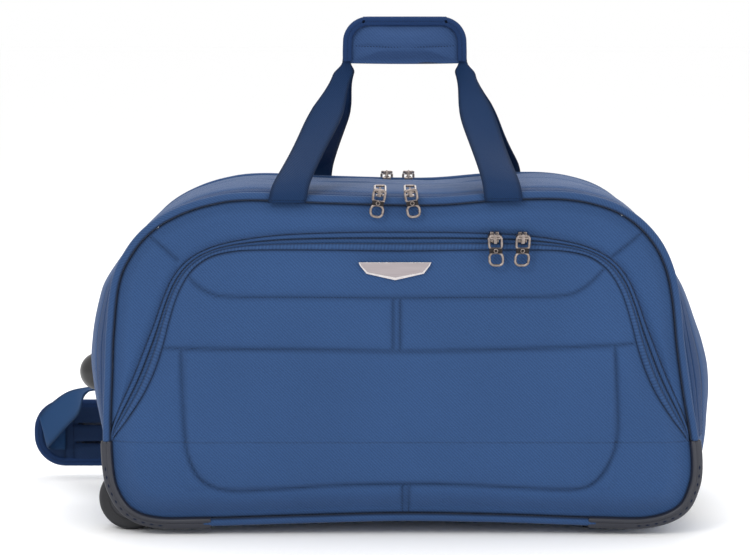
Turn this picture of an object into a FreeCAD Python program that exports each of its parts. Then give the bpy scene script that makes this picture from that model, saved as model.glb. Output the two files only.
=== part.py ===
import FreeCAD, Part
import math
import os

os.makedirs("parts", exist_ok=True)
V = FreeCAD.Vector

# Driving sizes in mm. The bag stands on its wheels and feet at z = 0 and faces -Y.
LENGTH = 584.0          # seam to seam along X, at the bottom
TOP_LENGTH = 540.0      # the same at the top corners
HEIGHT = 324.0          # bottom seam to top seam
DEPTH = 290.0           # front face to rear face
GROUND_GAP = 18.0       # floor to the bottom seam
CORNER_LOW = 60.0       # radius of the two bottom corners
CORNER_TOP = 95.0       # radius of the two top corners
WALL = 3.0              # padded fabric wall
SIDE_BULGE = 16.0       # how far the end walls swell at mid depth
TOP_BULGE = 5.0
LOW_BULGE = 4.0
SEAM_OUT = 4.0          # wall stands this far outside the seam line
PIPING = 10.0           # rim piping diameter
SEAM = 0.2              # gap left at a sewn seam
GAP = 0.6               # gap between bodies that move apart
GUARD = 12.0            # corner guard, outwards from the seam
GUARD_DEPTH = 9.0
GUARD_REACH = 102.0     # length of a guard along the bottom
FOLD_Z = 96.0           # height of the fold that the front opens about
FOLD_OUT = 25.0         # fold line stands this far in front of the front face
ZIP_BACK = 15.0         # main zip line behind the front face
TAPE = 7.0              # half width of a zip tape
TAPE_THICK = 1.5

POCKET_TOP = 305.0      # height of the pocket's arched top
POCKET_INSET = 4.0      # side of the pocket inside the end seam
POCKET_HALF_TOP = 217.0
POCKET_CORNER = 45.0
POCKET_DEPTH = 15.0     # how far the pocket stands out
POCKET_PIPING = 7.0
POCKET_SKIN = 3.0
FOLD_FREE = 15.0        # side walls of the pocket start this far above the fold
RAISED = 1.6            # thickness of the raised panel
RAISED_HALF = 217.0
RAISED_TOP = 190.0
RAISED_LOW = 48.0
RAISED_CORNER = 36.0
BADGE_X = -5.0
BADGE_HALF = 36.0
BADGE_Z = 269.0
BADGE_TALL = 22.0
BADGE_THICK = 2.4

WHEEL_INSET = 19.0      # axle inside the left end seam
WHEEL_R = 33.0
WHEEL_BEHIND = 33.0     # middle of a wheel inside the front or rear face
WHEEL_WIDTH = 23.0
HUB_R = 22.0
AXLE_R = 4.0
BUSH_R = 7.0
RUNNING = 0.05          # radial running clearance
WELL_R = 37.0
WELL_WALL = 3.0
WELL_HALF = 16.0
WELL_OUT = 8.0
FOOT_INSET = 87.0       # rest foot inside the right end seam
FOOT_BEHIND = 45.0      # and inside the front or rear face
FOOT_LONG = 34.0
FOOT_WIDE = 22.0
DOME_R = 20.0
DOME_Z = 146.0
DOME_OUT = 14.0         # plinth that carries the dome clear of the end wall

BOARD_Z = 60.0          # underside of the false floor
BOARD = 3.0
TUBE_Y = 45.0
TUBE_Z = 40.0
TUBE_R = 9.0
TUBE_BORE = 7.6
STAGE_R = 6.5
STAGE_BORE = 5.4
TUBE_START = 34.0       # trolley tubes start this far inside the left end
TUBE_END = 62.0         # and end this far inside the right end
TROLLEY_TRAVEL = 420.0
COLLAR = 22.0
GRIP_INSET = 30.0       # trolley grip inside the right end
GRIP_THICK = 22.0
GRIP_HALF = 62.0
GRIP_TALL = 22.0
BUTTON_TRAVEL = 3.0
BUTTON_HALF = 16.0
BUTTON_TALL = 10.0
ROD_R = 2.5
CUP_HALF = 74.0
CUP_TALL = 32.0
CUP_WALL = 2.5

STRAP_WIDE = 38.0       # webbing
STRAP_THICK = 2.0
HANDLE_X = 106.0        # centre of a handle foot
HANDLE_TOP_X = 66.0
HANDLE_NARROW = 18.0
GRIP_Z = 471.0          # underside of the hand wrap
WRAP_TALL = 47.0
WRAP_HALF = 66.0
WRAP_THICK = 16.0
WRAP_SKIN = 3.0

RING_BEHIND = 65.0      # D-ring inside the front or rear face
RING_Z = 140.0
RING_OUT = 30.0         # D-ring plane outside the seam line
RING_R = 14.0
RING_WIRE = 2.0
HOOK_R = 7.0
HOOK_WIRE = 1.8
HOOK_ANGLE = -40.0
PAD_PAST = 123.0        # shoulder pad reaches this far past the left end
PAD_LONG = 265.0
PAD_LOW = 16.0
PAD_WIDE = 72.0
PAD_THICK = 12.0
PAD_BEHIND = 39.0       # and lies this far behind the rear face

# Values that follow from the sizes above.
SEAM_TOP = GROUND_GAP + HEIGHT
FRONT = -DEPTH / 2
REAR = DEPTH / 2
HALF_LOW = LENGTH / 2
HALF_TOP = TOP_LENGTH / 2
WHEEL_X = WHEEL_INSET - HALF_LOW
WHEEL_Y = REAR - WHEEL_BEHIND
GUARD_RUN = HALF_LOW - GUARD_REACH
FOOT_X = HALF_LOW - FOOT_INSET
FOOT_Y = REAR - FOOT_BEHIND
TUBE_LEFT = TUBE_START - HALF_LOW
TUBE_RIGHT = HALF_LOW - TUBE_END
GRIP_X = HALF_LOW - GRIP_INSET
POCKET_HALF_LOW = HALF_LOW - POCKET_INSET
RING_Y = REAR - RING_BEHIND
PAD_LEFT = -HALF_LOW - PAD_PAST
PAD_Y = REAR + PAD_BEHIND
ZIP_Y = FRONT + ZIP_BACK
FOLD_Y = FRONT - FOLD_OUT
POCKET_FACE = FRONT - POCKET_DEPTH
RIM_Y = FRONT - PIPING / 2 + WALL
WHEEL_Z = WHEEL_R
TOP_OUT = SEAM_TOP + SEAM_OUT
RIM_TOP = SEAM_TOP + PIPING
BIG = 2000.0
RING_X = HALF_LOW + (HALF_TOP - HALF_LOW) * (RING_Z - GROUND_GAP) / HEIGHT + RING_OUT
STAND_X = RING_X - RING_OUT + SEAM_OUT + SIDE_BULGE
HINGE_Z = RIM_TOP + 1.0
HINGE_Y = FRONT - 3.0


PIECES = {}


def keep(name, shapes):
    """Store a node: one solid, or a list of separate solids."""
    PIECES[name] = Part.Compound(shapes) if isinstance(shapes, list) else shapes


def middle():
    """The point under the middle of the whole bounding box, which becomes the origin."""
    whole = Part.Compound(list(PIECES.values())).BoundBox
    return V(whole.Center.x, whole.Center.y, 0)


def export_all():
    shift = middle()
    for name, shape in PIECES.items():
        placed = shape.copy()
        placed.translate(shift.negative())
        placed.exportStep("parts/" + name + ".step")
        print(name, round(placed.Volume / 1000.0, 2), "cm3", len(placed.Solids), "solids")


def box(x0, x1, y0, y1, z0, z1):
    return Part.makeBox(x1 - x0, y1 - y0, z1 - z0, V(x0, y0, z0))


def above(z):
    return box(-BIG, BIG, -BIG, BIG, z, BIG)


def below(z):
    return box(-BIG, BIG, -BIG, BIG, -BIG, z)


def between(x0, x1):
    return box(x0, x1, -BIG, BIG, -BIG, BIG)


def in_xz(y):
    return lambda a, b: V(a, y, b)


def in_xy(z):
    return lambda a, b: V(a, b, z)


def in_yz(x):
    return lambda a, b: V(x, a, b)


def rounded_wire(corners, place):
    """Closed wire through (a, b, radius) corners, in the plane that place gives."""
    points = [place(a, b) for a, b, r in corners]
    edges = []
    ends = []
    for i, (a, b, r) in enumerate(corners):
        here = points[i]
        u = (points[i - 1] - here).normalize()
        w = (points[(i + 1) % len(points)] - here).normalize()
        if r <= 0:
            ends.append((here, None, here))
            continue
        half = u.getAngle(w) / 2
        mean = (u + w).normalize()
        reach = r / math.tan(half)
        centre = here + mean * (r / math.sin(half))
        ends.append((here + u * reach, centre - mean * r, here + w * reach))
    for i, (start, middle, end) in enumerate(ends):
        if middle is not None:
            edges.append(Part.Arc(start, middle, end).toShape())
        follow = ends[(i + 1) % len(ends)][0]
        edges.append(Part.LineSegment(end, follow).toShape())
    return Part.Wire(edges)


def slab(corners, place, way):
    return Part.Face(rounded_wire(corners, place)).extrude(way)


def bag_corners(side, top, low):
    z_low = GROUND_GAP - low
    z_top = SEAM_TOP + top
    low_r = CORNER_LOW + min(side, low)
    top_r = CORNER_TOP + min(side, top)
    return [(-HALF_LOW - side, z_low, low_r), (HALF_LOW + side, z_low, low_r),
            (HALF_TOP + side, z_top, top_r), (-HALF_TOP - side, z_top, top_r)]


def bag_wire(y, side, top, low):
    return rounded_wire(bag_corners(side, top, low), in_xz(y))


def bag_block(y0, y1, grow):
    return Part.Face(bag_wire(y0, grow, grow, grow)).extrude(V(0, y1 - y0, 0))


def bag_ring(y0, y1, outer, inner):
    return bag_block(y0, y1, outer).cut(bag_block(y0 - 1, y1 + 1, inner))


def swollen(inset):
    """The bag's outer body, swollen at mid depth, less an inset all round."""
    edge = SEAM_OUT - inset
    flat = DEPTH / 5
    side = edge + SIDE_BULGE
    wires = [bag_wire(FRONT + WALL + SEAM, edge, edge, edge),
             bag_wire(-flat, side, edge + TOP_BULGE, edge + LOW_BULGE),
             bag_wire(flat, side, edge + TOP_BULGE, edge + LOW_BULGE),
             bag_wire(REAR - WALL - SEAM, edge, edge, edge)]
    return Part.makeLoft(wires, True, True)


def rod(r, start, end):
    way = end - start
    return Part.makeCylinder(r, way.Length, start, way)


def tube(path, r):
    """A round tube swept along a closed or open wire."""
    first = path.OrderedEdges[0]
    start = first.valueAt(first.FirstParameter)
    way = first.tangentAt(first.FirstParameter)
    if (path.OrderedVertexes[0].Point - start).Length > 0.01:
        start = first.valueAt(first.LastParameter)
        way = first.tangentAt(first.LastParameter)
    ring = Part.Wire(Part.makeCircle(r, start, way))
    return path.makePipeShell([ring], True, True)


def mirror_x(shape):
    return shape.mirror(V(0, 0, 0), V(1, 0, 0))


def mirror_y(shape):
    return shape.mirror(V(0, 0, 0), V(0, 1, 0))


def pocket_corners(inset, low):
    slope = (POCKET_HALF_LOW - POCKET_HALF_TOP) / (POCKET_TOP - FOLD_Z)
    half_low = POCKET_HALF_LOW + slope * (FOLD_Z - low)
    return [(-half_low + inset, low, 0), (half_low - inset, low, 0),
            (POCKET_HALF_TOP - inset, POCKET_TOP - inset, POCKET_CORNER - inset),
            (-POCKET_HALF_TOP + inset, POCKET_TOP - inset, POCKET_CORNER - inset)]


def pocket_block(y0, y1, inset):
    return slab(pocket_corners(inset, FOLD_Z + GAP), in_xz(y0), V(0, y1 - y0, 0))


# ---- shell of the bag ----

def wheel_drum(side, r, half):
    y = side * WHEEL_Y
    return Part.makeCylinder(r, 2 * half, V(WHEEL_X, y - half, WHEEL_Z), V(0, 1, 0))


def cup_outer(grow):
    half = CUP_HALF + grow
    tall = CUP_TALL / 2 + CUP_WALL + grow
    x0 = TUBE_RIGHT + CUP_WALL - grow
    return box(x0, BIG, -half, half, TUBE_Z - tall, TUBE_Z + tall)


def gusset():
    wall = swollen(0).cut(swollen(WALL))
    front_strip = box(-BIG, BIG, -BIG, ZIP_Y + TAPE + SEAM, FOLD_Z, BIG)
    wall = wall.cut(front_strip)
    for side in (-1, 1):
        wall = wall.cut(wheel_drum(side, WELL_R + WELL_WALL + SEAM, WELL_HALF + 2.0))
    return wall.cut(cup_outer(SEAM))


def shell_panels():
    wall = gusset()
    split = HALF_LOW - CORNER_LOW - 20.0
    centre = between(-split + SEAM, split - SEAM)
    keep("left_end_panel", wall.common(between(-BIG, -split)))
    keep("right_end_panel", wall.common(between(split, BIG)))
    keep("bottom_panel", wall.common(centre).common(below(FOLD_Z)))
    keep("top_panel", wall.common(centre).common(above(FOLD_Z)))
    keep("rear_panel", bag_block(REAR - WALL, REAR, 0))
    keep("lower_front_panel", bag_block(FRONT, FRONT + WALL, 0).common(below(FOLD_Z)))
    back_tape = bag_ring(ZIP_Y + GAP / 2, ZIP_Y + TAPE, SEAM_OUT, SEAM_OUT - TAPE_THICK)
    keep("main_zip_back_tape", back_tape.common(above(FOLD_Z)))


def front_pieces():
    upper = above(FOLD_Z + GAP)
    keep("front_panel", bag_block(FRONT, FRONT + WALL, 0).common(upper))
    strip = bag_ring(FRONT + WALL + SEAM, ZIP_Y - TAPE - SEAM, SEAM_OUT, SEAM_OUT - WALL)
    keep("front_gusset", strip.common(upper))
    tape = bag_ring(ZIP_Y - TAPE, ZIP_Y - GAP / 2, SEAM_OUT, SEAM_OUT - TAPE_THICK)
    keep("main_zip_front_tape", tape.common(upper))
    ring_tape = pocket_block(FRONT - TAPE_THICK, FRONT - SEAM, 0)
    ring_tape = ring_tape.cut(pocket_block(FRONT - WALL, FRONT, TAPE))
    inside = bag_block(FRONT - WALL, FRONT, -SEAM)
    hole = box(-BIG, BIG, -BIG, BIG, -BIG, FOLD_Z + WALL)
    keep("pocket_zip_tape", ring_tape.common(inside).cut(hole))


def rim():
    path = bag_wire(RIM_Y, PIPING / 2 + SEAM, PIPING / 2 + SEAM, PIPING / 2 + SEAM)
    ring = tube(path, PIPING / 2)
    keep("front_rim_piping", ring.common(above(FOLD_Z + GAP)))
    run = ring.common(below(FOLD_Z)).common(between(-GUARD_RUN + SEAM, GUARD_RUN - SEAM))
    keep("bag_piping", [run, mirror_y(run), mirror_y(ring.common(above(FOLD_Z)))])


def guards():
    y0 = RIM_Y - GUARD_DEPTH / 2
    ring = bag_ring(y0, y0 + GUARD_DEPTH, GUARD, SEAM)
    ring = ring.common(below(FOLD_Z - SEAM))
    left = ring.common(between(-BIG, -GUARD_RUN))
    front = [left, mirror_x(left)]
    keep("corner_guards", front + [mirror_y(guard) for guard in front])


# ---- pocket ----

def raised_corners(inset):
    half = RAISED_HALF - inset
    return [(-half + RAISED_CORNER / 3, RAISED_LOW + inset, RAISED_CORNER),
            (half - RAISED_CORNER / 3, RAISED_LOW + inset, RAISED_CORNER),
            (half, RAISED_TOP - inset, 1.0), (-half, RAISED_TOP - inset, 1.0)]


def pocket():
    face = POCKET_FACE
    panel = pocket_block(face, face + POCKET_SKIN, TAPE + POCKET_PIPING + SEAM)
    wall = pocket_block(face + POCKET_SKIN + SEAM, FRONT - GAP, TAPE + GAP)
    wall = wall.cut(pocket_block(face, FRONT, TAPE + GAP + POCKET_SKIN))
    wall = wall.cut(below(FOLD_Z + FOLD_FREE))
    outline = pocket_corners(TAPE + POCKET_PIPING / 2, FOLD_Z + GAP)
    edges = rounded_wire(outline, in_xz(face + POCKET_SKIN / 2 - 1.0)).OrderedEdges
    open_path = Part.Wire([e for e in edges if e.BoundBox.ZMax > FOLD_Z + WALL])
    cord = tube(open_path, POCKET_PIPING / 2).cut(panel).cut(wall).cut(below(FOLD_Z + GAP))
    keep("pocket_panel", panel)
    keep("pocket_gusset", wall)
    keep("pocket_piping", cord.Solids[0])
    raised = slab(raised_corners(0), in_xz(face - RAISED), V(0, RAISED - SEAM / 2, 0))
    keep("raised_panel_upper", raised.common(above(FOLD_Z + GAP)))
    keep("raised_panel_lower", raised.common(below(FOLD_Z)))
    lower = bag_block(face, FRONT - SEAM, -SEAM)
    lower = lower.cut(bag_block(face + POCKET_SKIN, FRONT, -SEAM - POCKET_SKIN))
    keep("lower_pocket_panel", lower.common(below(FOLD_Z)))
    back = face - RAISED - SEAM
    badge = slab([(BADGE_X - BADGE_HALF, BADGE_Z + BADGE_TALL / 2, 1.0),
                  (BADGE_X - BADGE_HALF + 8.0, BADGE_Z - BADGE_TALL / 4, 1.5),
                  (BADGE_X, BADGE_Z - BADGE_TALL / 2, 2.0),
                  (BADGE_X + BADGE_HALF - 8.0, BADGE_Z - BADGE_TALL / 4, 1.5),
                  (BADGE_X + BADGE_HALF, BADGE_Z + BADGE_TALL / 2, 1.0)],
                 in_xz(back - BADGE_THICK), V(0, BADGE_THICK, 0))
    keep("badge", badge)


# ---- wheels and feet ----

def housing(side):
    drum = wheel_drum(side, WELL_R + WELL_WALL, WELL_HALF)
    drum = drum.cut(wheel_drum(side, WELL_R, WELL_HALF - WELL_WALL))
    drum = drum.cut(wheel_drum(side, AXLE_R, WELL_HALF + 1))
    y = side * WHEEL_Y
    outline = bag_wire(y - WELL_HALF - 1, WELL_OUT, WELL_OUT, WELL_OUT)
    return drum.common(Part.Face(outline).extrude(V(0, 2 * WELL_HALF + 2, 0)))


def axle(side):
    y = side * WHEEL_Y
    shape = wheel_drum(side, AXLE_R, WELL_HALF)
    for end in (-1, 1):
        at = y + end * WELL_HALF
        head = Part.makeCylinder(AXLE_R + 2, 1.5, V(WHEEL_X, at, WHEEL_Z), V(0, end, 0))
        shape = shape.fuse(head)
    return shape.removeSplitter()


def wheel(side, name):
    y = side * WHEEL_Y
    half = WHEEL_WIDTH / 2
    tyre = wheel_drum(side, WHEEL_R, half)
    tyre = tyre.makeFillet(4.0, [e for e in tyre.Edges if e.BoundBox.YLength < 0.1])
    keep("tyre_" + name, tyre.cut(wheel_drum(side, HUB_R, half + 1)))
    hub = wheel_drum(side, HUB_R - SEAM / 4, half - 1).fuse(wheel_drum(side, BUSH_R, half + 1))
    for face in (-1, 1):
        at = y + face * (half - 1)
        dish = Part.makeCylinder(HUB_R - 5, 5.0, V(WHEEL_X, at, WHEEL_Z), V(0, -face, 0))
        hub = hub.cut(dish.cut(wheel_drum(side, BUSH_R + 2, half + 1)))
    keep("hub_" + name, hub.cut(wheel_drum(side, AXLE_R + RUNNING, half + 2)).removeSplitter())


def feet():
    solid = swollen(0)
    feet_list = []
    for side in (-1, 1):
        y = side * FOOT_Y
        block = box(FOOT_X - FOOT_LONG / 2, FOOT_X + FOOT_LONG / 2,
                    y - FOOT_WIDE / 2, y + FOOT_WIDE / 2, 0, GROUND_GAP)
        edges = [e for e in block.Edges if e.BoundBox.ZLength > 1]
        feet_list.append(block.makeFillet(5.0, edges).cut(solid).Solids[0])
    keep("rest_feet", feet_list)
    dome_x = -STAND_X - DOME_OUT
    ball = Part.makeSphere(DOME_R, V(dome_x, 0, DOME_Z)).common(between(-BIG, dome_x))
    plinth = rod(DOME_R + 2, V(dome_x, 0, DOME_Z), V(-STAND_X + 6, 0, DOME_Z))
    foot = ball.fuse(plinth).cut(solid)
    keep("stand_foot", foot.removeSplitter().Solids[0])


# ---- false floor and trolley ----

def base():
    inner = swollen(WALL + SEAM)
    board = inner.common(box(-BIG, BIG, -BIG, BIG, BOARD_Z, BOARD_Z + BOARD))
    reach = WELL_HALF + GAP
    tray_low = GROUND_GAP - SEAM_OUT + WALL + SEAM
    half_x = HALF_LOW - CORNER_LOW - 10.0
    tray = box(-half_x, half_x, -DEPTH / 2 + 35, DEPTH / 2 - 35, tray_low, tray_low + 2.5)
    for x in (-half_x + 10.0, -60.0, 90.0, half_x - 14.0):
        rib = box(x, x + 4, -DEPTH / 2 + 35, DEPTH / 2 - 35, tray_low, BOARD_Z - SEAM)
        tray = tray.fuse(rib)
    for side in (-1, 1):
        drum = wheel_drum(side, WELL_R + WELL_WALL + GAP, reach)
        board = board.cut(drum)
        tray = tray.cut(drum)
        bore = rod(TUBE_R + SEAM / 2, V(-BIG, side * TUBE_Y, TUBE_Z), V(BIG, side * TUBE_Y, TUBE_Z))
        tray = tray.cut(bore)
    keep("base_board", board)
    block = box(TUBE_LEFT - 8, -half_x + 12, -TUBE_Y - 16, TUBE_Y + 16, TUBE_Z - 13, TUBE_Z + 13)
    for side in (-1, 1):
        block = block.cut(rod(TUBE_R + SEAM / 2, at_tube(side, TUBE_LEFT - 0.2), at_tube(side, BIG)))
    keep("base_tray", tray.fuse(block).removeSplitter())


def at_tube(side, x):
    return V(x, side * TUBE_Y, TUBE_Z)


def trolley():
    outer = []
    collars = []
    inner = []
    plugs = []
    stage_end = TUBE_LEFT + 14.0
    for side in (-1, 1):
        body = rod(TUBE_R, at_tube(side, TUBE_LEFT), at_tube(side, TUBE_RIGHT))
        outer.append(body.cut(rod(TUBE_BORE, at_tube(side, -BIG), at_tube(side, BIG))))
        ring = rod(TUBE_BORE - SEAM / 4, at_tube(side, TUBE_RIGHT - COLLAR), at_tube(side, TUBE_RIGHT))
        collars.append(ring.cut(rod(STAGE_R + RUNNING, at_tube(side, -BIG), at_tube(side, BIG))))
        stage = rod(STAGE_R, at_tube(side, stage_end), at_tube(side, GRIP_X + 4))
        inner.append(stage.cut(rod(STAGE_BORE, at_tube(side, -BIG), at_tube(side, BIG))))
        plug = rod(TUBE_BORE - RUNNING, at_tube(side, stage_end - 8), at_tube(side, stage_end + 12))
        step = rod(STAGE_R + SEAM / 4, at_tube(side, stage_end), at_tube(side, stage_end + 13))
        plugs.append(plug.cut(step))
    keep("outer_tubes", outer)
    keep("tube_collars", collars)
    keep("inner_tubes", inner)
    keep("glide_plugs", plugs)
    keep("trolley_cup", cup())
    grip_parts()


def cup():
    solid = swollen(-CUP_WALL)
    whole = cup_outer(0)
    hollow_half = CUP_TALL / 2
    x0 = TUBE_RIGHT + 2 * CUP_WALL
    hollow = box(x0, BIG, -CUP_HALF + CUP_WALL, CUP_HALF - CUP_WALL,
                 TUBE_Z - hollow_half, TUBE_Z + hollow_half)
    shape = whole.cut(hollow).common(solid)
    for side in (-1, 1):
        shape = shape.cut(rod(STAGE_R + GAP, at_tube(side, 0), at_tube(side, BIG)))
    return shape


def grip_parts():
    low = TUBE_Z - GRIP_TALL / 2
    high = TUBE_Z + GRIP_TALL / 2
    end = GRIP_X + GRIP_THICK
    bar = box(GRIP_X, end, -GRIP_HALF, GRIP_HALF, low, high)
    edges = [e for e in bar.Edges if e.BoundBox.YLength > GRIP_TALL * 2]
    bar = bar.makeFillet(6.0, edges)
    link_x = GRIP_X + 9.0
    room = box(link_x, link_x + 4 + BUTTON_TRAVEL * 2, -TUBE_Y - 5, TUBE_Y + 5, TUBE_Z - 4, TUBE_Z + 4)
    bar = bar.cut(room)
    for side in (-1, 1):
        bar = bar.cut(rod(STAGE_R + SEAM / 4, at_tube(side, 0), at_tube(side, GRIP_X + 4.2)))
        bar = bar.cut(rod(ROD_R + GAP, at_tube(side, 0), at_tube(side, link_x + 1)))
    well = box(link_x, end + 1, -BUTTON_HALF - GAP / 2, BUTTON_HALF + GAP / 2,
               TUBE_Z - BUTTON_TALL / 2 - GAP / 2, TUBE_Z + BUTTON_TALL / 2 + GAP / 2)
    keep("trolley_grip", bar.cut(well))
    seat = link_x + BUTTON_TRAVEL + 0.4
    cap = box(seat + 4, end + 1.5, -BUTTON_HALF, BUTTON_HALF,
              TUBE_Z - BUTTON_TALL / 2, TUBE_Z + BUTTON_TALL / 2)
    cap_edges = [e for e in cap.Edges if e.BoundBox.YLength > BUTTON_HALF]
    outer_edges = [e for e in cap_edges if e.BoundBox.XMin > end]
    keep("release_button", cap.makeFillet(2.0, outer_edges))
    link = box(seat, seat + 4 - SEAM, -TUBE_Y - 4, TUBE_Y + 4, TUBE_Z - 3, TUBE_Z + 3)
    rods = []
    for side in (-1, 1):
        rods.append(rod(ROD_R, at_tube(side, TUBE_LEFT + 40), at_tube(side, seat + 1)))
    keep("push_rods", link.fuse(rods).removeSplitter())


# ---- handles ----

def handle(name):
    foot_z = HINGE_Z + 0.5
    lean = [(HINGE_Y, foot_z, 0), (-8.0 - STRAP_THICK, GRIP_Z - 10.0, 20.0),
            (-8.0 - STRAP_THICK, GRIP_Z + WRAP_TALL - 8.0, 0), (-8.0, GRIP_Z + WRAP_TALL - 8.0, 0),
            (-8.0, GRIP_Z - 10.0, 20.0), (HINGE_Y + STRAP_THICK * 1.4, foot_z, 0)]
    sheet = slab(lean, in_yz(-BIG / 2), V(BIG, 0, 0))
    half = STRAP_WIDE / 2
    thin = HANDLE_NARROW / 2
    neck = GRIP_Z - 12.0
    top = GRIP_Z + WRAP_TALL - 8.0
    bar_low = GRIP_Z + 6.0
    leg = slab([(HANDLE_X - half, foot_z - 1, 0), (HANDLE_X + half, foot_z - 1, 0),
                (HANDLE_TOP_X + thin, neck, 30.0), (HANDLE_TOP_X - 6.0, top, 4.0),
                (HANDLE_TOP_X - 24.0, top, 0), (HANDLE_TOP_X - 24.0, bar_low, 0),
                (HANDLE_TOP_X - thin, neck, 8.0)],
               in_xz(-BIG / 2), V(0, BIG, 0))
    bar = box(-HANDLE_TOP_X + 20.0, HANDLE_TOP_X - 20.0, -BIG / 2, BIG / 2, bar_low, top)
    outline = leg.fuse(mirror_x(leg)).fuse(bar)
    web = sheet.common(outline).removeSplitter()
    leaf = box(-WRAP_HALF, WRAP_HALF, -WRAP_THICK, -GAP / 2, GRIP_Z, GRIP_Z + WRAP_TALL)
    long_edges = [e for e in leaf.Edges if e.BoundBox.XLength > WRAP_HALF]
    front_edges = [e for e in long_edges if e.BoundBox.YMax < -WRAP_THICK + 1]
    leaf = leaf.makeFillet(5.0, front_edges)
    room = slab([(-10.0 - GAP, GRIP_Z - 1, 0), (-10.0 - GAP, top + GAP, 0),
                 (-8.0 + GAP, top + GAP, 0), (-8.0 + GAP, GRIP_Z - 1, 0)],
                in_yz(-HANDLE_TOP_X - thin), V(2 * HANDLE_TOP_X + 2 * thin, 0, 0))
    leaf = leaf.cut(room)
    if name == "rear":
        web = mirror_y(web)
        leaf = mirror_y(leaf)
    keep(name + "_handle_webbing", web)
    keep(name + "_wrap_leaf", leaf)


# ---- sliders and pulls ----

def slider(x, y, z):
    body = box(x - 4.5, x + 4.5, y - 5.5, y + 5.5, z, z + 3.0)
    edges = [e for e in body.Edges if e.BoundBox.ZLength > 2]
    body = body.makeFillet(2.5, edges)
    bridge = box(x - 1.5, x + 1.5, y - 4.0, y + 4.0, z + 3.0, z + EYE_UP + 3.0)
    eye = rod(1.6, V(x - 2, y, z + EYE_UP), V(x + 2, y, z + EYE_UP))
    return body.fuse(bridge).cut(eye).removeSplitter()


def pull(x, y, z, reach, drop, wide):
    """Stamped link through the slider's eye, then a hanging plate with a round lock eye."""
    arm = 2 * WIRE
    inner = wide / 2 - arm
    shape = rod(WIRE, V(x - wide / 2 + WIRE, y, z), V(x + wide / 2 - WIRE, y, z))
    elbow = [(y + WIRE, z + WIRE, WIRE * 0.9), (y - reach - WIRE, z + WIRE, WIRE * 0.8),
             (y - reach - WIRE, z - drop * 0.4, 0), (y - reach + WIRE, z - drop * 0.4, 0),
             (y - reach + WIRE, z - WIRE, 0), (y + WIRE, z - WIRE, WIRE * 0.9)]
    for start in (x - wide / 2, x + inner):
        shape = shape.fuse(slab(elbow, in_yz(start), V(arm, 0, 0)))
    end = wide / 2 - 0.6
    plate = slab([(x - wide / 2, z - drop * 0.35, 0), (x + wide / 2, z - drop * 0.35, 0),
                  (x + wide / 2, z - drop, end), (x - wide / 2, z - drop, end)],
                 in_xz(y - reach - WIRE), V(0, arm, 0))
    hole = Part.makeCylinder(wide / 2 - 2.5, 12.0, V(x, y - reach - 6, z - drop + wide / 2), V(0, 1, 0))
    return shape.fuse(plate).cut(hole).removeSplitter()


WIRE = 1.1              # half thickness of a pull
EYE_UP = 7.5
MAIN_EYE_Z = TOP_OUT + GAP + EYE_UP
MAIN_X = (-20.0, 10.0)
MAIN_REACH = 24.5
MAIN_DROP = 30.0
PULL_WIDE = 11.0
POCKET_X = (94.0, 122.0)
POCKET_SLIDER_Z = POCKET_TOP - TAPE + 6.0
POCKET_EYE_Y = FRONT - TAPE_THICK - GAP - EYE_UP
POCKET_REACH = 14.0
POCKET_DROP = 34.0
REAR_X = (-12.0, 12.0)
REAR_SLIDER_Y = REAR - ZIP_BACK
REAR_RISE = 2.6         # how much higher the swollen top stands at the rear sliders
REAR_EYE_Z = TOP_OUT + REAR_RISE + EYE_UP


def turned(shape, x, z):
    """The same slider laid on the front face: its top faces -Y and its nose points down."""
    laid = shape.copy()
    laid.rotate(V(x, 0, z), V(1, 0, 0), 90)
    return laid


def pulls():
    for x, side in zip(MAIN_X, ("left", "right")):
        keep("main_slider_" + side, slider(x, ZIP_Y, TOP_OUT + GAP))
        keep("main_pull_" + side, pull(x, ZIP_Y, MAIN_EYE_Z, MAIN_REACH, MAIN_DROP, PULL_WIDE))
    for x, side in zip(POCKET_X, ("left", "right")):
        laid = turned(slider(x, 0.0, 0.0), x, 0.0)
        laid.translate(V(0, FRONT - TAPE_THICK - GAP, POCKET_SLIDER_Z))
        keep("pocket_slider_" + side, laid)
        keep("pocket_pull_" + side,
             pull(x, POCKET_EYE_Y, POCKET_SLIDER_Z, POCKET_REACH, POCKET_DROP, PULL_WIDE + 2.0))
    rear_sliders = []
    for x, side in zip(REAR_X, ("left", "right")):
        z = REAR_EYE_Z - EYE_UP
        rear_sliders.append(mirror_y(slider(x, -REAR_SLIDER_Y, z)))
        flat = pull(x, -REAR_SLIDER_Y, REAR_EYE_Z, MAIN_REACH, 22.0, PULL_WIDE)
        keep("rear_pull_" + side, mirror_y(flat))
    keep("rear_sliders", rear_sliders)


# ---- shoulder strap ----

def torus(centre, axis, major, minor):
    return Part.makeTorus(major, minor, centre, axis)


def rings():
    tabs = []
    ring_list = []
    solid = swollen(-SEAM)
    for side in (-1, 1):
        centre = V(side * RING_X, RING_Y, RING_Z)
        wire = torus(centre, V(1, 0, 0), RING_R, RING_WIRE)
        ring_list.append(wire)
        inner = side * (RING_X - RING_OUT)
        outer = side * (RING_X + RING_WIRE + 2.0)
        block = box(min(inner, outer), max(inner, outer), RING_Y - 26, RING_Y - 1,
                    RING_Z + 2, RING_Z + 26)
        grown = torus(centre, V(1, 0, 0), RING_R, RING_WIRE + SEAM)
        tab = block.cut(solid).cut(grown)
        tabs.append(max(tab.Solids, key=lambda s: s.Volume))
    keep("ring_tabs", tabs)
    keep("d_rings", ring_list)


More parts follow.
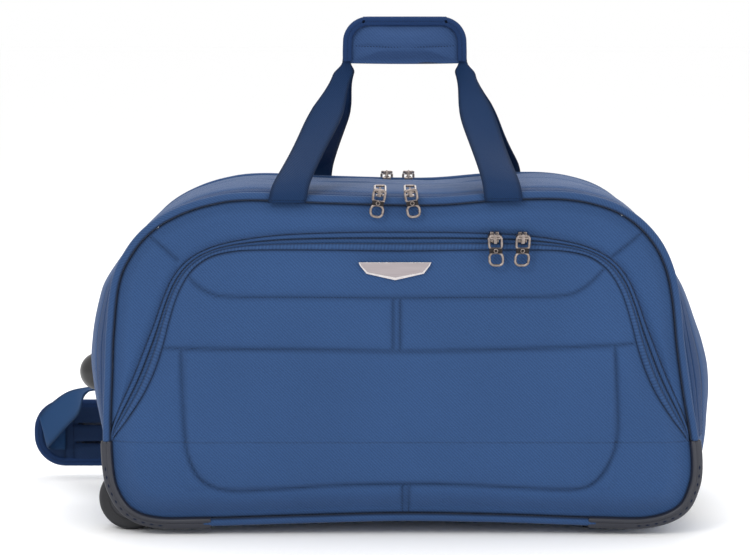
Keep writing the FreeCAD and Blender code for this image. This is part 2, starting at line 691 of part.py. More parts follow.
def hook(side):
    angle = math.radians(HOOK_ANGLE)
    radial = V(0, math.cos(angle), math.sin(angle))
    tangent = V(0, -math.sin(angle), math.cos(angle))
    centre = V(side * RING_X, RING_Y, RING_Z)
    loop = torus(centre + radial * RING_R, tangent, HOOK_R, HOOK_WIRE)
    start = centre + radial * (RING_R + HOOK_R)
    stem = rod(2.4, start, start + radial * 9.0)
    barrel = rod(4.0, start + radial * 3.0, start + radial * 16.0)
    return loop.fuse([stem, barrel]).removeSplitter()


def ribbon(points, thick, silhouette):
    """A flat strap on edge: a path seen from above, trimmed to a shape seen from the front."""
    there = []
    back = []
    for i, (x, y) in enumerate(points):
        before = points[max(i - 1, 0)]
        after = points[min(i + 1, len(points) - 1)]
        way = V(after[0] - before[0], after[1] - before[1], 0).normalize()
        there.append((x - way.y * thick / 2, y + way.x * thick / 2, 0))
        back.append((x + way.y * thick / 2, y - way.x * thick / 2, 0))
    sheet = slab(there + back[::-1], in_xy(0), V(0, 0, BIG))
    shape = slab([(a, b, 0) for a, b in silhouette], in_xz(-BIG), V(0, 2 * BIG, 0))
    return sheet.common(shape)


def shoulder_strap():
    angle = math.radians(HOOK_ANGLE)
    tip = RING_R + HOOK_R + 16.6
    tip_y = RING_Y + tip * math.cos(angle)
    tip_z = RING_Z + tip * math.sin(angle)
    half = STRAP_WIDE / 2
    pad_mid = PAD_LOW + PAD_WIDE / 2
    keep("snap_hooks", [hook(-1), hook(1)])
    left_path = [(-RING_X, tip_y + 4.0), (-RING_X - 30, tip_y + 10), (PAD_LEFT + 12, PAD_Y - 30),
                 (PAD_LEFT + 8, PAD_Y - 12), (PAD_LEFT + 34, PAD_Y - 3)]
    left_shape = [(-RING_X + 10, tip_z + 8), (-RING_X - 32, tip_z + 6), (PAD_LEFT + 14, pad_mid + 46),
                  (PAD_LEFT - 5, pad_mid + 28), (PAD_LEFT - 5, pad_mid - 8), (PAD_LEFT + 36, pad_mid - 8),
                  (PAD_LEFT + 40, pad_mid + 22), (-RING_X - 26, tip_z - 22), (-RING_X + 10, tip_z - 14)]
    left_web = ribbon(left_path, STRAP_THICK, left_shape)
    pad = slab([(PAD_LEFT, PAD_LOW, PAD_WIDE / 2 - 3), (PAD_LEFT + PAD_LONG, PAD_LOW, PAD_WIDE / 2 - 3),
                (PAD_LEFT + PAD_LONG, PAD_LOW + PAD_WIDE, PAD_WIDE / 2 - 3),
                (PAD_LEFT, PAD_LOW + PAD_WIDE, PAD_WIDE / 2 - 3)],
               in_xz(PAD_Y), V(0, PAD_THICK, 0))
    rims = [e for e in pad.Edges if e.BoundBox.YLength < 0.01]
    keep("shoulder_pad", pad.makeFillet(3.0, rims))
    end = PAD_LEFT + PAD_LONG
    right_path = [(end - 60, PAD_Y - 2.5), (HALF_LOW - 60, PAD_Y - 6), (HALF_LOW + 10, PAD_Y - 14),
                  (RING_X + 14, tip_y + 34), (RING_X + 10, tip_y + 12), (RING_X, tip_y + 4.0)]
    right_shape = [(end - 60, pad_mid - half), (HALF_LOW - 90, pad_mid - half), (HALF_LOW, tip_z - 32),
                   (RING_X + 20, tip_z - 14), (RING_X + 20, tip_z + 12), (HALF_LOW - 10, tip_z + 8),
                   (HALF_LOW - 90, pad_mid + half), (end - 60, pad_mid + half)]
    keep("strap_webbing", [left_web, ribbon(right_path, STRAP_THICK, right_shape)])
    frame = box(60, 84, PAD_Y - 12, PAD_Y + 4, pad_mid - half - 5, pad_mid + half + 5)
    room = ribbon(right_path, STRAP_THICK + GAP, [(a, b + (b - pad_mid) * 0.02) for a, b in right_shape])
    keep("strap_adjuster", frame.cut(room))


shell_panels()
front_pieces()
rim()
guards()
pocket()
keep("wheel_housings", [housing(-1), housing(1)])
keep("axles", [axle(-1), axle(1)])
wheel(-1, "front")
wheel(1, "rear")
feet()
base()
trolley()
handle("front")
handle("rear")
pulls()
rings()
shoulder_strap()
export_all()
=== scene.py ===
import bpy
import math
import numpy as np
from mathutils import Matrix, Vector, noise


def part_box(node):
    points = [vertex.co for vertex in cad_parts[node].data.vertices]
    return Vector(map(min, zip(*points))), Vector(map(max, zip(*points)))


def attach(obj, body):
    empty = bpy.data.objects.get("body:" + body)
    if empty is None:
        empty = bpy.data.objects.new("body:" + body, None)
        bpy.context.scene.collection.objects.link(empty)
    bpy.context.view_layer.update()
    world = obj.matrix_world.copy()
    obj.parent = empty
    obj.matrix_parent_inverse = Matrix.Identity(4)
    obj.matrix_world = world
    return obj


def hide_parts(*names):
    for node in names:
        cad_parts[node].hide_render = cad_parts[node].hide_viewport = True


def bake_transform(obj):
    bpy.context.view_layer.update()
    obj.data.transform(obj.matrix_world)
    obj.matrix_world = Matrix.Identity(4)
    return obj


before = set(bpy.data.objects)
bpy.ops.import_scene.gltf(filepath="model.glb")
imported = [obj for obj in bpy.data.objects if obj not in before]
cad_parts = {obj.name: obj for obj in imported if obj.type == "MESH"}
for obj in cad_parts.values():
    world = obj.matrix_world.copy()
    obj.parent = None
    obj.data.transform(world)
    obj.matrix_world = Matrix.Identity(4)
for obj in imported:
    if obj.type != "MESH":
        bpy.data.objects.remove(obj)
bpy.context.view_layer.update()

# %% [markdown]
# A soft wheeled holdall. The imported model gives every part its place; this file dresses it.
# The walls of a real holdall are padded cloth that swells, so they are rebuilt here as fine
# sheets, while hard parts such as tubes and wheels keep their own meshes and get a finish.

MM = 0.001
front_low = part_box("front_panel")[0]
rear_low, rear_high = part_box("rear_panel")
CX = (rear_low.x + rear_high.x) / 2
CY = (front_low.y + rear_high.y) / 2
FOLD = 96.0             # height of the line that the front opens about
FRONT, REAR = -145.0, 145.0


def at(x, y, z):
    """A place given in mm from the middle of the bag, on the floor, in the frame's metres."""
    return Vector((CX + x * MM, CY + y * MM, z * MM))


def placed(x, y, z):
    """The same for arrays."""
    x, y, z = np.broadcast_arrays(x, y, z)
    return np.stack([CX + x * MM, CY + y * MM, z * MM], axis=-1)


def smooth(t):
    t = np.clip(t, 0.0, 1.0)
    return t * t * (3 - 2 * t)


def bell(d, width):
    return np.exp(-(d / width) ** 2)


def wave(x, y, z, size, seed=0.0):
    """Soft noise, about -1 to 1, whose lumps are size mm across."""
    x, y, z = np.broadcast_arrays(x, y, z)
    out = [noise.noise(Vector((a / size + seed, b / size - seed, c / size)))
           for a, b, c in zip(x.ravel(), y.ravel(), z.ravel())]
    return np.array(out).reshape(x.shape)


print("bag middle", round(CX, 4), round(CY, 4))


# %% [markdown]
# Almost every soft piece is one sheet of cloth. A sheet starts as Blender's own grid and its
# corners are then put where a rule says, so the same few lines make a wall, a strap or a
# piping. The grid's UV map is set in metres, so the weave keeps nearly one size everywhere.

# %% Helpers for sheets and swept pieces
def fresh():
    if bpy.context.object and bpy.context.object.mode != "OBJECT":
        bpy.ops.object.mode_set(mode="OBJECT")
    bpy.ops.object.select_all(action="DESELECT")


def sheet(name, points, uv, shade=None):
    """A grid through points, an array of rows by columns by 3; uv likewise by 2, in metres."""
    rows, cols = points.shape[0] - 1, points.shape[1] - 1
    fresh()
    bpy.ops.mesh.primitive_grid_add(x_subdivisions=cols, y_subdivisions=rows, size=2)
    piece = bpy.context.object
    piece.name = name
    mesh = piece.data
    flat = np.empty(len(mesh.vertices) * 3)
    mesh.vertices.foreach_get("co", flat)
    flat = flat.reshape(-1, 3)
    i = np.rint((flat[:, 0] + 1) / 2 * cols).astype(int)
    j = np.rint((flat[:, 1] + 1) / 2 * rows).astype(int)
    mesh.vertices.foreach_set("co", points[j, i].ravel())
    loops = np.empty(len(mesh.loops), dtype=int)
    mesh.loops.foreach_get("vertex_index", loops)
    mesh.uv_layers.active.data.foreach_set("uv", uv[j[loops], i[loops]].ravel())
    # The seam attribute holds painted shade for each point, taken from shade when it is given.
    tone = mesh.attributes.new("seam", "FLOAT", "POINT")
    if shade is not None:
        tone.data.foreach_set("value", shade[j, i].ravel())
    mesh.update()
    mesh.shade_smooth()
    return piece


def edit(piece, *steps):
    """Runs edit-mode operators on the whole mesh."""
    fresh()
    piece.select_set(True)
    bpy.context.view_layer.objects.active = piece
    bpy.ops.object.mode_set(mode="EDIT")
    bpy.ops.mesh.select_all(action="SELECT")
    for step in steps:
        step()
    bpy.ops.object.mode_set(mode="OBJECT")
    return piece


def weld(piece, fill=True):
    edit(piece, lambda: bpy.ops.mesh.remove_doubles(threshold=0.00002))
    if fill:
        edit(piece, lambda: bpy.ops.mesh.fill_holes(sides=0))
    return edit(piece, lambda: bpy.ops.mesh.normals_make_consistent(inside=False))


def finish_with(piece, kind, **values):
    """Adds a modifier and applies it."""
    fresh()
    piece.select_set(True)
    bpy.context.view_layer.objects.active = piece
    change = piece.modifiers.new(kind.title(), kind)
    for key, value in values.items():
        setattr(change, key, value)
    bpy.ops.object.modifier_apply(modifier=change.name)
    return piece


def thicken(piece, mm):
    return finish_with(piece, "SOLIDIFY", thickness=mm * MM, offset=-1.0)


def joined(name, *pieces):
    fresh()
    for piece in pieces:
        piece.select_set(True)
    bpy.context.view_layer.objects.active = pieces[0]
    if len(pieces) > 1:
        bpy.ops.object.join()
    pieces[0].name = name
    return pieces[0]


def unit(v):
    return v / np.maximum(np.linalg.norm(v, axis=-1, keepdims=True), 1e-9)


def distances(points, closed=False):
    """Length along points, in their own unit, from 0."""
    p = np.vstack([points, points[:1]]) if closed else points
    return np.concatenate([[0.0], np.cumsum(np.linalg.norm(np.diff(p, axis=0), axis=1))])


def resample(points, count):
    """count + 1 points at even steps along points."""
    d = distances(points)
    t = np.linspace(0, d[-1], count + 1)
    return np.stack([np.interp(t, d, points[:, k]) for k in range(points.shape[1])], axis=1)


def curve(points, step, closed=False):
    """A smooth curve through points, sampled about every step."""
    p = np.array(points, dtype=float)
    n = len(p)
    out = []
    for i in range(n if closed else n - 1):
        a, b, c, d = (p[k % n] if closed else p[min(max(k, 0), n - 1)] for k in (i - 1, i, i + 1, i + 2))
        bits = max(2, int(round(np.linalg.norm(c - b) / step)))
        t = (np.arange(bits) / bits)[:, None]
        out.append(0.5 * (2 * b + (c - a) * t + (2 * a - 5 * b + 4 * c - d) * t ** 2
                          + (3 * b - a - 3 * c + d) * t ** 3))
    if not closed:
        out.append(p[-1:])
    return np.vstack(out)


def ways(points, closed=False):
    """Unit direction of travel at each point."""
    if closed:
        return unit(np.roll(points, -1, axis=0) - np.roll(points, 1, axis=0))
    return unit(np.gradient(points, axis=0))


def sweep(name, centres, side, out, section, closed=False, shade=None):
    """Runs a section along centres. section is (around, 2) mm, or one per station; side and
    out are the directions of its two axes at each station."""
    count = len(centres)
    section = np.broadcast_to(section, (count,) + np.shape(section)[-2:])
    points = (centres[:, None] + side[:, None] * section[..., :1] * MM
              + out[:, None] * section[..., 1:] * MM)
    points = np.concatenate([points, points[:, :1]], axis=1)
    length = distances(centres, closed)[: count + 1]
    if closed:
        points = np.concatenate([points, points[:1]], axis=0)
    else:
        length = length[:count]
    girth = np.concatenate([[0.0], np.cumsum(np.linalg.norm(np.diff(points[0], axis=0), axis=1))])
    uv = np.stack(np.broadcast_arrays(girth[None, :], length[:, None]), axis=-1)
    if shade is not None:
        shade = np.broadcast_to(np.append(shade, shade[0]), points.shape[:2])
    return weld(sheet(name, points, uv, shade), fill=not closed)


def oval(wide, high, around=16, square=1.0):
    """A closed section; square under 1 makes its corners fuller."""
    t = np.arange(around) * 2 * math.pi / around
    c, s = np.cos(t), np.sin(t)
    return np.stack([wide * np.sign(c) * np.abs(c) ** square, high * np.sign(s) * np.abs(s) ** square], axis=1)


def seat(piece, body, slot, *nodes):
    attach(piece, body)
    if nodes:
        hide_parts(*nodes)
    return piece


def paint(piece, skin):
    piece.data.materials.clear()
    piece.data.materials.append(skin)
    return piece


# %% [markdown]
# Finishes come next, because every piece below asks for one. Woven cloth is the main one:
# a node group draws threads that cross over and under in a diagonal step, and each cloth
# sets its own thread count and colours. The seam attribute, painted by the sheets, is painted
# shade: it darkens the stitched valleys and the edges where cloth runs under a rim or piping.

# %% Small helper for shader nodes
def put(tree, kind, *values, **settings):
    box = tree.nodes.new(kind)
    for key, value in settings.items():
        setattr(box, key, value)
    for socket, value in zip(box.inputs, values):
        if value is None:
            continue
        if isinstance(value, bpy.types.NodeSocket):
            tree.links.new(value, socket)
        else:
            socket.default_value = value
    return box


def maths(tree, how, *values):
    return put(tree, "ShaderNodeMath", *values, operation=how).outputs[0]


def mix(tree, amount, one, two):
    box = tree.nodes.new("ShaderNodeMix")
    box.data_type = "RGBA"
    for socket, value in ((box.inputs[0], amount), (box.inputs[6], one), (box.inputs[7], two)):
        if isinstance(value, bpy.types.NodeSocket):
            tree.links.new(value, socket)
        else:
            socket.default_value = value
    return box.outputs[2]


def group(name, inputs, outputs):
    tree = bpy.data.node_groups.new(name, "ShaderNodeTree")
    for key, kind, value in inputs:
        socket = tree.interface.new_socket(key, in_out="INPUT", socket_type=kind)
        if value is not None:
            socket.default_value = value
    for key, kind in outputs:
        tree.interface.new_socket(key, in_out="OUTPUT", socket_type=kind)
    return tree, tree.nodes.new("NodeGroupInput").outputs, tree.nodes.new("NodeGroupOutput").inputs


# %% Woven cloth: threads that step diagonally
weave, come, go = group("Woven threads",
                        [("Vector", "NodeSocketVector", None), ("Threads", "NodeSocketFloat", 1200.0),
                         ("Step", "NodeSocketFloat", 4.0)],
                        [("Height", "NodeSocketFloat"), ("Tint", "NodeSocketFloat")])
parts = put(weave, "ShaderNodeSeparateXYZ", come["Vector"]).outputs
across = maths(weave, "MULTIPLY", parts[0], come["Threads"])
upward = maths(weave, "MULTIPLY", parts[1], come["Threads"])
slant = maths(weave, "DIVIDE", maths(weave, "ADD", across, upward), come["Step"])
ridge = maths(weave, "PINGPONG", slant, 0.5)
ridge = maths(weave, "MULTIPLY", ridge, 2.0)
one = maths(weave, "SINE", maths(weave, "MULTIPLY", across, 2 * math.pi))
two = maths(weave, "SINE", maths(weave, "MULTIPLY", upward, 2 * math.pi))
knot = maths(weave, "MULTIPLY", one, two)
height = maths(weave, "MULTIPLY_ADD", knot, 0.25, ridge)
weave.links.new(height, go["Height"])
fuzz = put(weave, "ShaderNodeTexNoise", come["Vector"], noise_dimensions="3D")
fuzz.inputs["Scale"].default_value = 900.0
fuzz.inputs["Detail"].default_value = 1.0
tint = maths(weave, "MULTIPLY_ADD", fuzz.outputs[0], 0.7, maths(weave, "MULTIPLY", height, 0.45))
weave.links.new(maths(weave, "SUBTRACT", tint, 0.1), go["Tint"])

# %% Uneven dye and handling marks, shared by the cloth and moulded finishes
patchy, come, go = group("Uneven tone",
                         [("Size", "NodeSocketFloat", 9.0), ("Amount", "NodeSocketFloat", 0.12)],
                         [("Tone", "NodeSocketFloat")])
spot = put(patchy, "ShaderNodeTexCoord").outputs["Object"]
cloud = put(patchy, "ShaderNodeTexNoise", spot)
patchy.links.new(come["Size"], cloud.inputs["Scale"])
cloud.inputs["Detail"].default_value = 3.0
level = maths(patchy, "SUBTRACT", cloud.outputs[0], 0.5)
level = maths(patchy, "MULTIPLY_ADD", level, come["Amount"], 1.0)
patchy.links.new(level, go["Tone"])


def colour(red, green, blue):
    """An sRGB colour in 0-255 as linear RGBA."""
    def linear(c):
        c /= 255
        return c / 12.92 if c <= 0.04045 else ((c + 0.055) / 1.055) ** 2.4
    return (linear(red), linear(green), linear(blue), 1.0)


def start(name, roughness, metallic=0.0):
    skin = bpy.data.materials.new(name)
    skin.use_nodes = True
    tree = skin.node_tree
    shader = tree.nodes["Principled BSDF"]
    shader.inputs["Roughness"].default_value = roughness
    shader.inputs["Metallic"].default_value = metallic
    return skin, tree, shader


def bump(tree, shader, height, strength, distance):
    box = put(tree, "ShaderNodeBump")
    box.inputs["Strength"].default_value = strength
    box.inputs["Distance"].default_value = distance
    tree.links.new(height, box.inputs["Height"])
    tree.links.new(box.outputs[0], shader.inputs["Normal"])


def toned(tree, shade, size, amount):
    """A colour multiplied by the uneven tone."""
    tone = put(tree, "ShaderNodeGroup", node_tree=patchy)
    tone.inputs["Size"].default_value = size
    tone.inputs["Amount"].default_value = amount
    start_shade = shade if isinstance(shade, bpy.types.NodeSocket) else shade[:3]
    box = put(tree, "ShaderNodeVectorMath", start_shade, operation="SCALE")
    tree.links.new(tone.outputs[0], box.inputs["Scale"])
    return box.outputs[0]


def cloth(name, dark, light, threads, step=4.0, seam_shade_strength=0.75, sheen=0.12, rough=0.85, depth=0.5):
    skin, tree, shader = start(name, rough)
    uv = put(tree, "ShaderNodeUVMap").outputs[0]
    threads_box = put(tree, "ShaderNodeGroup", uv, node_tree=weave)
    threads_box.inputs["Threads"].default_value = threads
    threads_box.inputs["Step"].default_value = step
    shade = mix(tree, threads_box.outputs["Tint"], dark, light)
    # The seam attribute is painted shade: it mixes the colour towards a darker copy of the dark thread colour.
    seam = put(tree, "ShaderNodeAttribute", attribute_name="seam").outputs["Fac"]
    seam_shade_colour = tuple(c * (1 - seam_shade_strength) for c in dark[:3]) + (1.0,)
    shade = mix(tree, seam, toned(tree, shade, 7.0, 0.25), seam_shade_colour)
    tree.links.new(shade, shader.inputs["Base Color"])
    shader.inputs["Sheen Weight"].default_value = sheen
    shader.inputs["Sheen Roughness"].default_value = 0.4
    shader.inputs["Specular IOR Level"].default_value = 0.2
    bump(tree, shader, threads_box.outputs["Height"], depth, 0.0004)
    return skin


def moulded(name, shade, rough, grain=900.0, depth=0.25):
    skin, tree, shader = start(name, rough)
    spot = put(tree, "ShaderNodeTexCoord").outputs["Object"]
    leather = put(tree, "ShaderNodeTexVoronoi", spot, feature="SMOOTH_F1")
    leather.inputs["Scale"].default_value = grain
    tree.links.new(toned(tree, shade, 30.0, 0.5), shader.inputs["Base Color"])
    bump(tree, shader, leather.outputs["Distance"], depth, 0.0003)
    return skin


def metal(name, shade, rough, dirt, size=90.0, brushed=False):
    """Metal whose polish and tint change over the surface; brushed adds fine lines along X."""
    skin, tree, shader = start(name, rough, 1.0)
    spot = put(tree, "ShaderNodeTexCoord").outputs["Object"]
    if brushed:
        spot = put(tree, "ShaderNodeMapping", spot, None, None, (0.04, 1.0, 1.0)).outputs[0]
    cloud = put(tree, "ShaderNodeTexNoise", spot)
    cloud.inputs["Scale"].default_value = size
    cloud.inputs["Detail"].default_value = 4.0
    tree.links.new(mix(tree, cloud.outputs[0], dirt, shade), shader.inputs["Base Color"])
    wear = maths(tree, "MULTIPLY_ADD", cloud.outputs[0], 0.25, rough - 0.1)
    tree.links.new(wear, shader.inputs["Roughness"])
    bump(tree, shader, cloud.outputs[0], 0.15, 0.0002)
    return skin


# %% The finishes of this bag
body_cloth = cloth("Body cloth", colour(33, 56, 92), colour(52, 84, 130), 1150.0)
piping_cloth = cloth("Piping cloth", colour(32, 54, 88), colour(52, 82, 126), 1150.0)
tape_cloth = cloth("Zip tape cloth", colour(26, 48, 84), colour(42, 70, 112), 1700.0, 2.0, sheen=0.05)
webbing_cloth = cloth("Webbing cloth", colour(6, 30, 62), colour(16, 50, 90), 900.0, 2.0,
                      rough=0.75, depth=0.7, sheen=0.0)
strap_cloth = cloth("Strap webbing cloth", colour(14, 46, 82), colour(30, 70, 114), 900.0, 2.0,
                    rough=0.75, depth=0.7, sheen=0.0)
pad_cloth = cloth("Pad cloth", colour(15, 32, 60), colour(28, 52, 88), 1150.0)
wrap_cloth = cloth("Wrap cloth", colour(36, 58, 96), colour(56, 84, 128), 1150.0)
bind_cloth = cloth("Binding cloth", colour(12, 36, 74), colour(26, 56, 100), 1500.0, 2.0,
                   rough=0.75, sheen=0.05)
thread_navy = cloth("Navy thread", colour(6, 16, 36), colour(14, 28, 54), 3000.0, 2.0, sheen=0.0)
guard_rubber = moulded("Guard rubber", colour(34, 36, 46), 0.4)
black_plastic = moulded("Black plastic", colour(20, 20, 24), 0.38, 1400.0, 0.15)
dome_plastic = moulded("Stand foot plastic", colour(26, 25, 26), 0.3, 1600.0, 0.1)
tyre_rubber = moulded("Tyre rubber", colour(24, 25, 30), 0.5, 1100.0, 0.2)
hub_grey = moulded("Hub plastic", colour(40, 41, 48), 0.42, 900.0, 0.15)
board_grey = moulded("Board plastic", colour(28, 28, 32), 0.6, 500.0, 0.3)
button_grey = moulded("Button plastic", colour(76, 80, 88), 0.35, 900.0, 0.1)
old_silver = metal("Antique silver", colour(186, 174, 168), 0.3, colour(70, 60, 56), 260.0)
dark_metal = metal("Darkened metal", colour(70, 66, 66), 0.4, colour(22, 20, 22), 400.0)
satin_silver = metal("Satin silver", colour(176, 168, 170), 0.45, colour(150, 141, 143), 600.0, True)
bright_edge = metal("Polished edge", colour(226, 222, 222), 0.22, colour(180, 172, 172), 200.0)
tube_silver = metal("Anodised tube", colour(200, 202, 206), 0.32, colour(170, 172, 178), 500.0, True)
axle_steel = metal("Axle steel", colour(180, 180, 184), 0.3, colour(120, 118, 116), 200.0)
print("materials", len(bpy.data.materials))


# %% [markdown]
# The bag seen from the front is a wide trapezoid with four round corners, a little slumped to
# one side as soft bags are. Walls, rim piping, zip and corner guards all follow this one line,
# so they stay together.

# %% The seam line that everything follows
SEAM = curve([(0, 23), (100, 21.5), (200, 18), (250, 18), (280, 29), (292, 52), (294, 75), (291, 103),
              (284, 142), (277, 190), (271.5, 240), (264, 272), (250, 298), (228, 319), (200, 332),
              (160, 339), (100, 338), (30, 333), (-70, 335), (-150, 338), (-190, 333), (-222, 322),
              (-248, 306), (-267, 284), (-280, 255), (-286, 205), (-288, 160), (-290, 110), (-289, 72),
              (-284, 47), (-270, 27), (-245, 18), (-200, 17.5), (-100, 20.5)], 3.0, closed=True)


def with_fold(points):
    """Adds the two points where a closed line crosses the fold height."""
    out = []
    for p, q in zip(points, np.roll(points, -1, axis=0)):
        out.append(p)
        if (p[1] - FOLD) * (q[1] - FOLD) < 0:
            out.append(p + (q - p) * (FOLD - p[1]) / (q[1] - p[1]))
    return np.array(out)


SEAM = with_fold(SEAM)
TURN = ways(SEAM, closed=True)
OUT = np.stack([TURN[:, 1], -TURN[:, 0]], axis=1)
COUNT = len(SEAM)
folds = np.nonzero(np.abs(SEAM[:, 1] - FOLD) < 1e-6)[0]
RIGHT, LEFT = int(folds[0]), int(folds[-1])
ROUND = distances(SEAM, closed=True)
UPPER = np.arange(RIGHT, LEFT + 1)
LOWER = np.arange(LEFT, RIGHT + COUNT + 1) % COUNT
print("seam line", round(ROUND[-1]), "mm round,", COUNT, "points")

# %% [markdown]
# The walls between front and back are one strip of padded cloth. It swells most just behind
# the front rim and at the two ends, and less over the top, where two seams hold it down.

# %% How far the wall cloth swells
ZIP = -130.0
TAPE_END = -110.0
WALL_END = 142.0         # walls meet the rims this far before and behind the middle
WALL_SEAMS = (TAPE_END, 12.0)


def wall_out(index, y):
    """mm outwards from the seam line, at station index and depth y."""
    p, n = SEAM[index], OUT[index]
    x, z = p[..., 0], p[..., 1]
    t = (y + WALL_END) / (2 * WALL_END)
    rise = np.clip((y + WALL_END) / 60.0, 0, 1) ** 0.65
    fall = np.clip((WALL_END - y) / 60.0, 0, 1) ** 0.7
    side = np.where(x < 0, 26.0 * bell(z - 185, 100.0), 33.0 * bell(z - 160, 95.0))
    side = side * n[..., 0] ** 2 * smooth((310 - z) / 70)
    side = side * rise * fall * (1.0 - 0.42 * smooth((y + 95) / 90))
    over = np.where(n[..., 1] > 0, 9.0, 4.0) * n[..., 1] ** 2 * rise * fall * (1 - 0.3 * smooth(t))
    crease = 1.3 * wave(x, y * 0.6, z, 62.0) + 0.8 * wave(x, y * 1.2, z, 27.0, 5.0)
    held = sum(bell(y - s, 4.0) for s in WALL_SEAMS) * smooth((z - 50) / 30)
    return 4.0 + side + over + (crease - 2.4 * held) * rise * fall


def wall_points(index, y, lift=0.0):
    index = np.asarray(index) % COUNT
    far = wall_out(index, y) + lift
    q = SEAM[index] + OUT[index] * far[..., None]
    return placed(q[..., 0], y, q[..., 1])


def wall_strip(name, index, y0, y1, rows, lift=0.0):
    depth = np.linspace(y1, y0, rows + 1)[:, None]
    index, depth = np.broadcast_arrays(np.asarray(index)[None, :], depth)
    points = wall_points(index, depth, lift)
    girth = distances(SEAM[index[0] % COUNT])
    uv = np.stack([np.broadcast_to(girth, depth.shape), depth], axis=-1) * MM
    z = SEAM[index % COUNT][..., 1]
    # dark is painted shade: in the two stitched seam valleys and where the walls run under the rims.
    dark = sum(bell(depth - s, 1.6) for s in WALL_SEAMS) * smooth((z - 50) / 30) * 0.85
    dark = np.maximum(dark, 0.7 * np.maximum(bell(depth - WALL_END, 2.5), bell(depth + WALL_END, 2.5)))
    return sheet(name, points, uv, dark)


ring = np.arange(COUNT + 1)
walls = weld(wall_strip("wall_cloth", ring, TAPE_END, 145.0, 85), fill=False)
wheel_low, wheel_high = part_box("tyre_front")
WHEEL = (wheel_low + wheel_high) / 2
WHEEL_Y = 112.0
CUP_LOW, CUP_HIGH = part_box("trolley_cup")


def in_well(co, radius=38.5, half=14.5):
    """Inside the round opening of a wheel housing; the two stand WHEEL_Y before and behind."""
    level = min(abs(co.y - CY - end * WHEEL_Y * MM) for end in (-1, 1)) < half * MM
    return level and math.hypot(co.x - WHEEL.x, co.z - WHEEL.z) < radius * MM


def in_cup(co, lip=1.0 * MM):
    """Inside the mouth of the trolley cup, but for a narrow lip."""
    inside = CUP_LOW.y + lip < co.y < CUP_HIGH.y - lip and CUP_LOW.z + lip < co.z < CUP_HIGH.z - lip
    return inside and co.x > CUP_LOW.x


def opened(piece, *tests):
    """Cuts the cloth away where the wheel housings and the trolley cup come through."""
    fresh()
    piece.select_set(True)
    bpy.context.view_layer.objects.active = piece
    bpy.ops.object.mode_set(mode="EDIT")
    bpy.ops.mesh.select_mode(type="VERT")
    bpy.ops.mesh.select_all(action="DESELECT")
    bpy.ops.object.mode_set(mode="OBJECT")
    for vert in piece.data.vertices:
        vert.select = any(test(vert.co) for test in tests)
    bpy.ops.object.mode_set(mode="EDIT")
    bpy.ops.mesh.delete(type="VERT")
    bpy.ops.object.mode_set(mode="OBJECT")
    print(piece.name, len(piece.data.polygons), "faces with its openings cut")


opened(walls, in_well, in_cup)
thicken(walls, 3.0)
seat(paint(walls, body_cloth), "bag", "body_fabric",
     "left_end_panel", "right_end_panel", "top_panel", "bottom_panel")
under = wall_strip("lower_front_strip", LOWER, -WALL_END, TAPE_END, 12)
opened(under, in_well)
thicken(under, 3.0)
seat(paint(under, body_cloth), "bag", "body_fabric")
lip = thicken(wall_strip("front_lip", UPPER, -WALL_END, -135.5, 4), 2.0)
seat(paint(lip, body_cloth), "front_wall", "body_fabric", "front_gusset")
for name, y0, y1, body, node in (
        ("main_zip_front_cloth", -136.5, ZIP - 0.4, "front_wall", "main_zip_front_tape"),
        ("main_zip_back_cloth", ZIP + 0.4, TAPE_END + 1, "bag", "main_zip_back_tape")):
    tape = thicken(wall_strip(name, UPPER, y0, y1, 6, 0.4), 1.4)
    seat(paint(tape, tape_cloth), body, "zip_tape", node)
print("wall faces", len(walls.data.polygons))


# %% [markdown]
# Stitches are what make sewn work readable. Each is a small eight-sided bead lying along its
# line; one mesh holds all the stitches of a seam.

# %% Stitches
def stitches(name, line, out, body, slot, step=2.9, long=1.3, wide=0.5, high=0.4, zigzag=0.0):
    """Beads along line, an array of places in metres; out is the surface's outward direction."""
    count = max(1, int(distances(line)[-1] / (step * MM)))
    spots = resample(line, count)
    spots = (spots[1:] + spots[:-1]) / 2
    way = unit(np.diff(resample(line, count), axis=0))
    out = np.broadcast_to(out, spots.shape)
    side = unit(np.cross(way, out))
    if zigzag:
        lean = np.where(np.arange(len(spots)) % 2, 1.0, -1.0)[:, None]
        way, side = unit(way + side * lean * zigzag), unit(side - way * lean * zigzag)
    a, b, c = way * long * MM, side * wide * MM, out * high * MM
    corners = np.stack([spots + a, spots + b, spots - a, spots - b, spots + c, spots - c], axis=1)
    k = np.arange(len(spots))[:, None] * 6
    faces = np.concatenate([k + np.array([f]) for f in ((0, 1, 4), (1, 2, 4), (2, 3, 4), (3, 0, 4),
                                                       (1, 0, 5), (2, 1, 5), (3, 2, 5), (0, 3, 5))])
    mesh = bpy.data.meshes.new(name)
    mesh.from_pydata(corners.reshape(-1, 3).tolist(), [], faces.tolist())
    mesh.uv_layers.new(name="UVMap")
    piece = bpy.data.objects.new(name, mesh)
    bpy.context.collection.objects.link(piece)
    paint(piece, thread_navy)
    return seat(piece, body, slot)


UP, AHEAD = np.array([0.0, 0.0, 1.0]), np.array([0.0, -1.0, 0.0])

# %% [markdown]
# The rim piping is a cord wrapped in the body cloth: a round section swept along the seam
# line, with painted shade on the side that is sewn down.


# %% Rim piping
RIM_Y = 147.0            # the rims run this far before and behind the middle
RIM_R = 4.2


def rim(name, index, y, r, body, *nodes, grow=4.6):
    index = np.asarray(index) % COUNT
    q = SEAM[index] + OUT[index] * grow
    side = np.stack([OUT[index][:, 0], np.zeros(len(index)), OUT[index][:, 1]], axis=1)
    section = oval(r, r)
    # sewn is painted shade on the cord's inward side, where it is sewn down against the panel.
    sewn = smooth((-section[:, 0] / r - 0.45) * 2.5) * 0.85
    piece = sweep(name, placed(q[:, 0], y, q[:, 1]), side, np.broadcast_to(AHEAD, side.shape), section,
                  shade=sewn)
    return seat(paint(piece, piping_cloth), body, "piping_fabric", *nodes)


def bottom_run(limit=200):
    low = [i for i in range(COUNT) if SEAM[i][1] < 40 and abs(SEAM[i][0]) < limit]
    return sorted(low, key=lambda i: SEAM[i][0])


